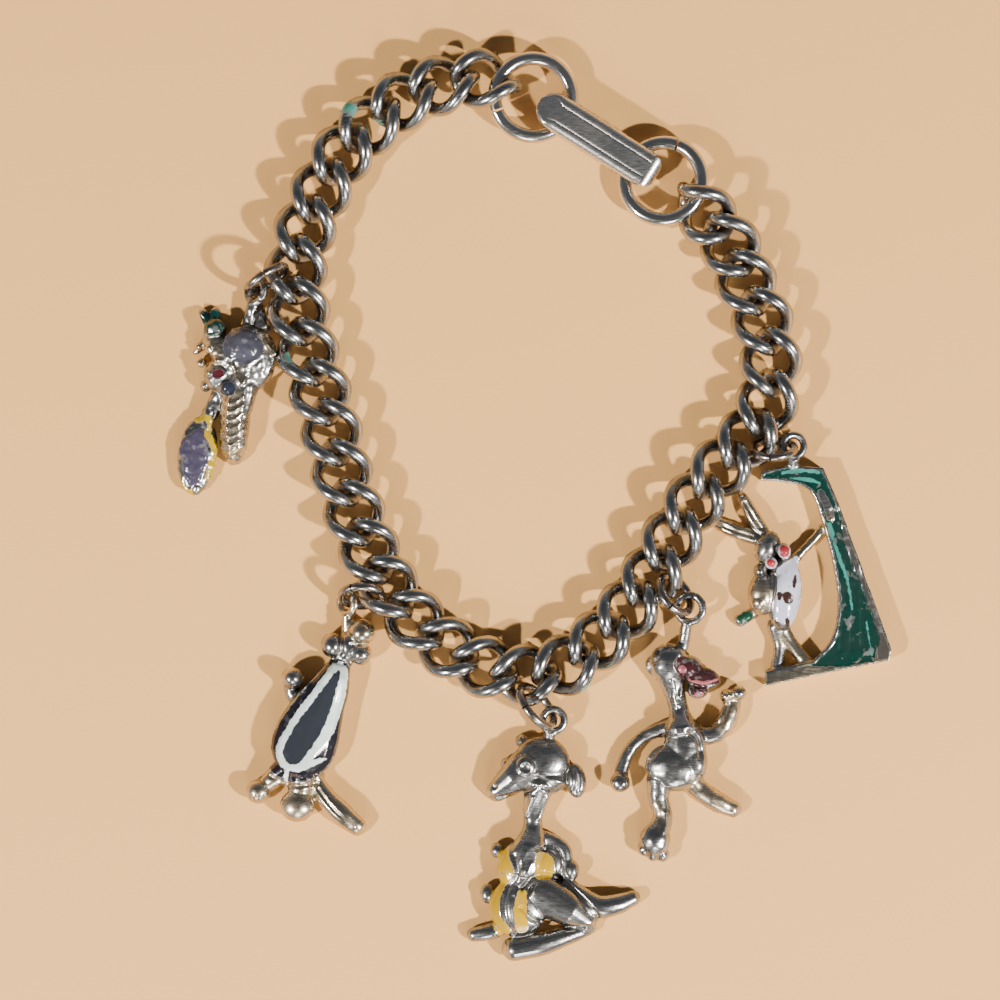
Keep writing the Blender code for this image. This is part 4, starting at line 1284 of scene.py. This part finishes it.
# %% Skunk: strokes and enamel
skunk.hammer(1.3, 0.03)
for x in (-43, -40, -37):
    skunk.strokes(([(x, -86), (x + 0.5, -90)], 0.6, -0.10))
skunk.strokes(
    ([(-13, -83), (-6, -92), (3, -100)], 0.8, -0.16),
    ([(-6.5, -25.2), (-1, -27), (6, -26)], 1.0, -0.30),
    ([(-2.5, -15), (-2.5, -22)], 0.8, -0.22),
    ([(2, -18.5), (9.5, -18)], 0.8, -0.22),
    ([(-34, -77.5), (-24, -81.5), (-13, -80.5)], 0.8, -0.22),
)
coat = smooth_line([
    (-4.6, -24.5), (1.7, -29), (1.7, -36.6), (0, -46.2), (-1.5, -56), (-3.8, -64), (-7.6, -71.5),
    (-13, -77), (-20.6, -79.5), (-28, -79), (-33.8, -75), (-36, -69.2), (-34.8, -62.6), (-30.8, -54.4),
    (-24.8, -45.5), (-18, -37.3), (-10.6, -29.1),
], 4, closed=True)
loop = [
    (-4.3, -27.6, 1.9), (-9.5, -33.8, 1.7), (-15.4, -41.8, 1.7), (-21.3, -49.4, 1.7), (-26.5, -57.4, 1.7),
    (-29.9, -64.8, 1.7), (-29.2, -70.2, 1.7), (-25.1, -73.4, 1.6), (-19.5, -72.4, 2.1),
    (-15.2, -66.5, 1.9), (-10.2, -60.3, 2.6), (-6.7, -52.9, 2.6), (-3.7, -44.0, 2.5), (-1.7, -35.4, 2.1),
    (-1.4, -30.2, 1.8),
]
strands = [skunk.ribbon(loop, closed=True),
           skunk.ribbon([(-19, -72.4, 1.9), (-13, -70.3, 1.3), (-9.6, -69.4, 0.7)]),
           skunk.ribbon([(-26.6, -73.5, 1.3), (-27.4, -79.5, 0.9)])]
below_back = np.where(skunk.plan[:, 1] < -60, 0, -9)
skunk.worn(-skunk.inside(coat) - 1 + below_back)
skunk.cell("coat", skunk.inside(coat), rim=0.0, sink=0.02)
panel = smooth_line([row[:2] for row in loop], 5, closed=True)
skunk.cell("panel", skunk.inside(panel), rim=0.0, sink=0.02)
skunk.cell("stripe", np.max(strands, axis=0), rim=0.02, sink=-0.05)
skunk.finished(enamelled("skunk casting", [
    ("coat", (0.006, 0.004, 0.009)), ("panel", (0.018, 0.021, 0.028)), ("stripe", (0.60, 0.70, 0.67)),
], chips=0.10))


# %% [markdown]
# The giraffe sits on its folded legs, its neck up to the ring. Thigh and shin are smooth, heavy forms with
# deep creases round them. Its coat patches are bands of yellow enamel down the back and on the flank.

# %% Giraffe: casting
giraffe = Charm(
    "charm_giraffe", JUMP_RINGS[2], 25.0, (-3, -12),
    lumps=[
        (-5, -17.5, 12, 10.5, 0, 0.95), (-2.5, -25, 8.5, 7, 0, 0.85), (9.6, -26, 4.6, 7.6, 8, 0.7),
        (-20.3, -18.6, 2.4, 2.4, 0, 0.65), (-12.5, -64, 11.5, 13, 0, 0.9), (-15, -80, 12.6, 13, 0, 0.95),
        (8, -64.5, 3.2, 4.4, 0, 0.6), (-2.5, -62, 6.2, 8.5, 0, 0.75), (-24.2, -56, 3, 3.4, 0, 0.5),
        (-28.3, -74.5, 3.2, 4.4, 0, 0.5),
    ],
    limbs=[
        [(-12, -20.5, 8.4), (-19, -26.3, 6.4), (-24.3, -30.6, 4.7)],
        [(-10, -11.5, 2.8), (-13.5, -9, 2.8)],
        [(-6, -28, 6.6), (-8.4, -38, 4.7), (-8.8, -45, 4.1), (-9.5, -51, 6), (-12, -60, 9.5)],
        [(-7, -50.5, 3.8), (0, -52.2, 3.2), (4.6, -55.8, 3.1), (5.6, -62, 3), (5.2, -68.5, 3.3)],
        [(4, -70, 3.8), (11, -75.5, 4.6), (19, -80, 5.1), (27.5, -79, 4.5), (34.3, -76.4, 3.3)],
        [(15.5, -89.3, 3), (6.6, -92.4, 4.1), (-4.9, -96, 5.1), (-17, -98.2, 5.3)],
        [(-3.6, -75.4, 8.8), (5.2, -80.4, 7.6), (14.3, -86.6, 4.8)],
        [(-23, -89.5, 3.4), (-28, -91.2, 3.6), (-34.3, -92.3, 3.1)],
    ],
)


# %% [markdown]
# A dome with a sunk middle makes the eye. Creases part thigh, shin and arm, and short ridges lie between
# the bands of enamel.

# %% Giraffe: strokes and enamel
giraffe.hammer(1.6, 0.03)
giraffe.dome(-11.9, -19.6, 3.9, 0.26)
giraffe.dome(-11.9, -20.0, 2.1, -0.36)
giraffe.strokes(
    ([(-15, -17.5), (-12.5, -15.8), (-9, -17)], 0.7, 0.12),
    ([(-27, -33.4), (-20, -33.0), (-13, -31.3), (-8, -28.6)], 0.8, -0.26),
    ([(-7, -22.5), (-1, -25.2), (4, -26.6)], 1.1, 0.20),
    ([(-5, -28.5), (1, -30.5), (4, -28.5)], 0.8, -0.22),
    ([(-8.8, -33), (-11.5, -41)], 0.9, 0.20),
    ([(-2.8, -33), (-6.3, -42)], 0.9, 0.20),
)
giraffe.dome(-25, -28.6, 1.0, -0.15)
giraffe.strokes(
    ([(9, -21), (10.5, -26), (9, -31)], 1.5, -0.35),
    ([(-7, -54.6), (0, -56.3), (2.0, -60), (2.2, -68)], 0.8, -0.30),
    ([(-13.5, -72), (-8, -66.8), (0, -66.8), (9, -72.5), (19, -84)], 0.9, -0.34),
    ([(-13.5, -80), (-9, -85), (0, -87.6), (8, -88.8), (16, -89)], 0.9, -0.34),
    ([(-16.5, -58), (-15.5, -66), (-19.8, -72), (-21, -79), (-20, -86), (-17.5, -91)], 1.2, -0.18),
)
for x, y in ((-12, -56), (-9.5, -61), (-13, -64), (-10.5, -69), (-15, -70.5)):
    giraffe.strokes(([(x, y), (x - 1.6, y - 3.6)], 0.9, 0.10))
flank = [(-6.9, -56.5), (-1.2, -57.6), (0.2, -60.6), (0.2, -66.4), (-4.6, -68), (-8, -66)]
bands = [giraffe.ribbon(rows) for rows in (
    [(-20.1, -54, 1.2), (-21.6, -59.5, 2.9), (-20.4, -64.5, 3.4), (-23.3, -70.6, 2.5), (-25.2, -77.6, 2.3),
     (-24.8, -84.2, 2.3), (-21.8, -90, 3.1)],
    [(-13.5, -74.3, 2.2), (-14.2, -80, 2.9), (-13.6, -88, 2.9)],
)]
bands.append(giraffe.inside(smooth_line(flank, 4, closed=True)))
giraffe.cell("patches", np.max(bands, axis=0), rim=0.04, sink=0.02)
giraffe.finished(enamelled("giraffe casting", [("patches", (0.44, 0.255, 0.0))], chips=0.45))


# %% [markdown]
# The monkey swings below its ring: one arm bent up, the other hanging in a bow, legs loose. Its face is
# worn wine-red enamel with pink on the lips, and pink spots on the cheek by the eye and on the chin are
# painted highlights. The hands and feet are knobs with fingers and toes.

# %% Monkey: casting
monkey = Charm(
    "charm_monkey", JUMP_RINGS[3], 26.0, (-3, -17),
    lumps=[
        (-8.6, -22.5, 8, 8.2, 0, 1.0), (-0.3, -24.5, 5.8, 5.2, 0, 0.9), (5.3, -28.6, 7.5, 4.7, -10, 0.9),
        (3.5, -33.4, 4.5, 3.9, 0, 0.8), (-15, -23.5, 3.4, 4.2, 0, 0.5), (-2, -57, 8.8, 12, 0, 0.92),
        (-6.6, -65.5, 11.8, 9.8, -12, 0.98), (1.5, -63, 6, 8.5, 0, 0.9), (-28.7, -71.8, 4.2, 4.2, 0, 0.7),
        (-14.2, -95.3, 6.3, 6.8, 0, 0.8), (-18.8, -99.4, 2.6, 3.2, 25, 0.55),
        (-15, -101.3, 2.5, 3.2, 0, 0.55), (-11, -101.6, 2.7, 3.2, -10, 0.55),
        (20.3, -34.9, 3.3, 3, 0, 0.75), (15.4, -36.2, 3.2, 3, 0, 0.7),
    ],
    limbs=[
        [(-8.5, -27, 5.8), (-6, -35, 4.3), (-4.3, -42, 4.2), (-3.5, -49, 6.8)],
        [(-2, -47, 4), (5, -52.3, 3.7), (11.5, -51.3, 3.9), (15.8, -45.3, 4.1), (17.8, -38.5, 3.5)],
        [(-9, -49.5, 3.6), (-17, -52, 2.8), (-23.7, -57.5, 2.8), (-27.3, -64.5, 2.8), (-28.6, -71, 3)],
        [(-12.5, -71, 5.4), (-12.8, -78, 4.4), (-10.9, -86, 4), (-13.3, -92.5, 5)],
        [(-1, -68.5, 5), (4, -74.5, 4.2), (10.5, -79.3, 4.4), (18.3, -83, 3.4)],
    ],
)


# %% [markdown]
# Grooves part brow, lips and limbs, and small domes raise the eye and the chin. The pink, on the lips and
# as painted highlights on eye and chin, lies over the face.

# %% Monkey: strokes and enamel
monkey.hammer(0.8, 0.06)
monkey.strokes(
    ([(-7.5, -30), (-6.5, -35), (-5, -40)], 1.0, 0.18),
    ([(-3.5, -31), (-4, -36)], 0.8, 0.18),
    ([(-4.5, -20), (-3.5, -26), (-1.5, -30.5)], 0.8, -0.26),
    ([(-0.5, -28.8), (5, -30.6), (11.5, -28.8)], 0.7, 0.20),
    ([(0.5, -31.4), (6, -32.4), (9, -31.6)], 0.8, -0.32),
    ([(1.5, -21.5), (2.8, -25)], 0.8, -0.24),
)
monkey.dome(-3.2, -25.4, 1.5, 0.20)
monkey.dome(3.8, -35, 2.0, 0.16)
monkey.strokes(
    ([(-16, -26), (-16.5, -23), (-14, -21)], 0.7, -0.18),
    ([(8, -48), (12.6, -46.5), (15.5, -40)], 0.7, -0.26),
    ([(-0.5, -50.5), (3.2, -54), (4.5, -61)], 0.9, -0.26),
    ([(-11.5, -52.5), (-13, -57), (-16.5, -61)], 0.9, -0.22),
    ([(-10, -84), (-9.8, -88), (-10.8, -92)], 1.0, 0.16),
    ([(15, -34), (16.5, -38)], 0.6, -0.20),
)
monkey.worn(monkey.oval(10, -77, 12, 6, -25), monkey.oval(15, -42, 5, 11),
            monkey.oval(-13, -85, 3, 6))
face = [monkey.ribbon([(-3.2, -23.2, 3.8), (0.4, -26, 4.4), (6, -28.5, 4.0), (10.6, -28.6, 2.4)]),
        monkey.oval(3.6, -33.3, 4.0, 3.2)]
# Pink enamel on the lips; the pink spots on the eye and on the chin are painted highlights.
pink_and_highlights = [monkey.ribbon([(-0.5, -29.2, 0.6), (5, -30.6, 1.0), (11, -29, 0.7)]),
        monkey.oval(-3.2, -25.2, 1.7, 1.8), monkey.oval(3.8, -35, 2.1, 1.2)]
monkey.cell("face", np.max(face, axis=0), rim=0.03, sink=0.02)
monkey.cell("pink_and_highlights", np.max(pink_and_highlights, axis=0), rim=0.0, sink=-0.02)
monkey.finished(enamelled("monkey casting", [
    ("face", (0.034, 0.009, 0.011)), ("pink_and_highlights", (0.34, 0.10, 0.11)),
], chips=0.5))


# %% [markdown]
# The hare stands by a bent tree and holds on to it. The tree is a flat plate, filled with dark green enamel
# inside a bare metal edge, streaked with bark and worn through along its outer side. The hare's ears and
# legs are bare warm metal, its chest is white enamel with brown chips, and two small roses lie on its cheek
# and paw.

# %% Hare and its tree: casting
TREE_INNER_EDGE = [(-15, -16), (-3, -17), (8, -21), (14, -36), (19, -56), (21, -74), (18, -90), (9, -100)]
TREE_OUTER_EDGE = [
    (-13, -105), (-13, -112), (5, -108), (45, -100), (46, -95), (21, -26), (14, -10), (-3, -9), (-15, -12),
]
TREE_THICKNESS = 1.9
tree_outline = [tuple(point) for point in smooth_line(TREE_INNER_EDGE, 6)] + TREE_OUTER_EDGE
hare = Charm(
    "charm_hare", JUMP_RINGS[4], 23.0, (0, -12),
    lumps=[
        (-4.2, -68, 8, 18, -4, 1.0), (-14.5, -69, 6.6, 10, 0, 0.9), (-12, -47, 5.6, 8, -25, 0.9),
        (-15, -58, 3.6, 3.4, 0, 0.6), (-4.6, -49, 3.6, 4, 0, 0.95), (-10.6, -54.3, 3.2, 3.2, 0, 0.95),
    ],
    limbs=[
        [(-17, -43, 3.2), (-27, -39.6, 3.8), (-36.5, -35, 2.4)],
        [(-14, -40, 3.3), (-19, -32, 3.5), (-23.5, -23.5, 2.5)],
        [(-2, -56, 2.8), (8, -45.5, 2.2), (17.5, -35, 2.6)],
        [(-6, -84, 4.4), (-1.5, -91, 3.4), (8.8, -104, 3.2)],
        [(-8, -84, 4.2), (-6, -94, 3), (-8, -106, 3)],
        [(-18, -77.5, 2.6), (-24.5, -81.5, 3)],
    ],
    plates=[(tree_outline, TREE_THICKNESS)],
)


# %% [markdown]
# Grooves run along the ears and down the side, and domes raise cheek and paws.

# %% Hare: strokes
hare.hammer(0.9, 0.05)
for shift in (0, 5, 10):
    hare.strokes(([(18 + 0.4 * shift, -30), (24 + 0.7 * shift, -60), (22 + shift, -95)], 0.8, -0.12))
hare.strokes(
    ([(-19, -42), (-27, -39.6), (-35, -36)], 0.9, -0.22),
    ([(-15, -38), (-19, -32), (-22.5, -26)], 0.9, -0.22),
    ([(-8.5, -60), (-9.5, -70), (-10.5, -80)], 0.9, -0.28),
    ([(-8.5, -46), (-8, -52)], 0.8, -0.22),
)
ROUNDS = [(-4.4, -48.8, 3), (-10.6, -54.4, 2.7), (-15.8, -58.6, 1.8), (-11.5, -59, 1.6), (-17, -74, 3)]
for x, y, radius in ROUNDS:
    hare.dome(x, y, radius, 0.20)
hare.worn(hare.oval(-29, -38.5, 12, 5, -20), hare.oval(-19.5, -30, 4.5, 11, 30),
          hare.ribbon([(-2, -56, 3), (18, -35, 4)]), hare.ribbon([(-3, -90, 4), (8, -104, 6)]),
          hare.oval(-16, -71, 6, 8), hare.ribbon([(-12, -110, 3), (46, -99, 3)]))
print("hare: worn metal on ears, arms and legs")


# %% [markdown]
# The tree's cells stop short of its edge, because each is cut by the distance to the tree's own outline.
# Its outer side is worn bare, and streaks of light green run down the bark.

# %% Hare: enamel of the tree
trunk = hare.inside(tree_outline)
bare = [hare.ribbon(rows) for rows in (
    [(23.5, -32, 1.0), (26, -42, 2.6), (32, -56, 3.2), (36.5, -72, 1.6), (43, -90, 2.6), (44, -98, 6)],
    [(12.5, -21, 1.0), (15.5, -27, 1.7), (17.3, -33, 1.6)],
)]
streaks = [hare.ribbon(rows) for rows in (
    [(17.5, -41, 0.5), (21.5, -52, 0.9), (25, -62, 0.8), (27.5, -76, 0.6)],
    [(-5, -12.6, 0.7), (4, -11.2, 1.3), (12, -12.4, 0.9)],
    [(-2, -15, 0.5), (6, -15.5, 0.9), (12, -17, 0.7)],
    [(16.6, -36.5, 1.3), (18, -41, 1.4)],
    [(34, -82, 0.4), (36.5, -97, 0.6)],
)]
strip = hare.ribbon([(24, -40, 3), (27, -48, 4.6), (33, -60, 5), (38, -75, 4), (43, -90, 5), (45, -97, 6)])
bark = np.minimum(np.minimum(trunk - 1.1, -np.max(bare, axis=0)), hare.plan[:, 1] + 103)
hare.cell("strip", np.minimum(strip, trunk - 0.9), rim=0.0, sink=0.04)
hare.cell("bark", bark, rim=0.03, sink=0.08)
hare.cell("streaks", np.minimum(np.max(streaks, axis=0), trunk - 1.2), rim=0.0, sink=-0.02)
print("tree: edge of bare metal,", len(streaks), "streaks")
hare.cell("leaf", hare.oval(-22.5, -80.3, 4.2, 2.6, 30), sink=0.02)


# %% [markdown]
# The chest is white with brown chips in it, and the two roses have a white border.

# %% Hare: enamel of the animal
chest = smooth_line([
    (2.3, -51.5), (-2, -53), (-8, -58), (-8.2, -67), (-10.6, -78), (-6.5, -82), (-2, -84), (1.2, -88),
    (3.6, -79.6), (3.4, -65.4), (2.6, -57),
], 4, closed=True)
chips = [hare.oval(0.4, -63, 1.1, 3.2, -6), hare.oval(-2.8, -70.6, 2.6, 3.4, 25),
         hare.oval(-6.8, -69.5, 1.4, 2.4), hare.oval(-2.8, -82.4, 1.4, 2.4, 10)]
roses = [hare.oval(-4.4, -48.8, 2.9, 3.6, 10), hare.oval(-10.6, -54.4, 2.7, 2.6)]
hare.cell("white", np.maximum(hare.inside(chest), np.max(roses, axis=0)), sink=0.02)
hare.cell("brown", np.max(chips, axis=0), rim=0.0, sink=0.06)
hare.cell("rose", np.max(roses, axis=0) - 0.9, rim=0.0, sink=-0.03)
hare.finished(enamelled("hare casting", [
    ("strip", (0.040, 0.035, 0.031)), ("bark", (0.0012, 0.022, 0.016)), ("streaks", (0.035, 0.20, 0.165)),
    ("leaf", (0.004, 0.040, 0.018)), ("white", (0.50, 0.51, 0.63)), ("brown", (0.028, 0.012, 0.009)),
    ("rose", (0.28, 0.02, 0.025)),
], chips=0.35))


# %% [markdown]
# The table is a plain pale board. Metal shows what it mirrors, so the room matters as much as the lamps:
# straight up it is dark, which makes level metal grey, and towards the horizon it is light. Two lamps low
# on the near side give the paired highlights and the shadows to left and right, and a window on the near
# side lights lower edges.

# %% Table
TABLE_COLOUR = (0.66, 0.345, 0.10)
TABLE_ROUGHNESS = 0.62
TABLE_REACH = 900
TABLE_GAP = 0.02
board = bpy.data.meshes.new("table")
corners = [(-1, -1, 0), (1, -1, 0), (1, 1, 0), (-1, 1, 0)]
board.from_pydata([Vector(occlusion_shade) * TABLE_REACH * MM for occlusion_shade in corners], [], [(0, 1, 2, 3)])
table = bpy.data.objects.new("table", board)
bpy.context.scene.collection.objects.link(table)
table.location.z = -TABLE_GAP * MM
pale = bpy.data.materials.new("pale table")
pale.use_nodes = True
join(pale.node_tree, pale.node_tree.nodes["Principled BSDF"], {
    "Base Color": (*TABLE_COLOUR, 1), "Roughness": TABLE_ROUGHNESS,
})
board.materials.append(pale)
print("table:", 2 * TABLE_REACH, "mm wide")


# %% [markdown]
# The lamps are small, so their shadows have clear edges, and the window is wide and weak. Their colour is
# slightly warm. The room's light changes from dark above to light at the horizon with the height of the
# direction.

# %% Lamps, window and room
def lamp(name, place, size, power, colour):
    """A square area lamp, aimed at the middle of the bracelet; its place and size are in millimetres."""
    light = bpy.data.lights.new(name, "AREA")
    light.size = size * MM
    light.energy = power
    light.color = colour
    holder = bpy.data.objects.new(name, light)
    holder.location = Vector(place) * MM
    holder.rotation_euler = (-Vector(place)).to_track_quat("-Z", "Y").to_euler()
    bpy.context.scene.collection.objects.link(holder)


LAMPS = [
    dict(name="lamp_right", place=(430, -270, 430), size=30, power=11.0, colour=(1.0, 0.96, 0.90)),
    dict(name="lamp_left", place=(-420, -250, 430), size=30, power=7.2, colour=(1.0, 0.96, 0.91)),
    dict(name="window", place=(40, -620, 330), size=220, power=2.2, colour=(1.0, 0.98, 0.95)),
]
for row in LAMPS:
    lamp(**row)
ROOM_ABOVE = (0.17, 0.186, 0.21, 1)
ROOM_ROUND = (0.68, 0.69, 0.70, 1)
ROOM_STRENGTH = 0.55
room = bpy.data.worlds.new("room")
room.use_nodes = True
tree = room.node_tree
facing = add(tree, "ShaderNodeTexCoord").outputs["Generated"]
upward = add(tree, "ShaderNodeSeparateXYZ", {0: facing}).outputs["Z"]
shade = mixed(tree, spread(tree, upward, 0.08, 0.60), ROOM_ROUND, ROOM_ABOVE)
join(tree, tree.nodes["Background"], {"Color": shade, "Strength": ROOM_STRENGTH})
bpy.context.scene.world = room
print("lights:", [light.name for light in bpy.data.lights])
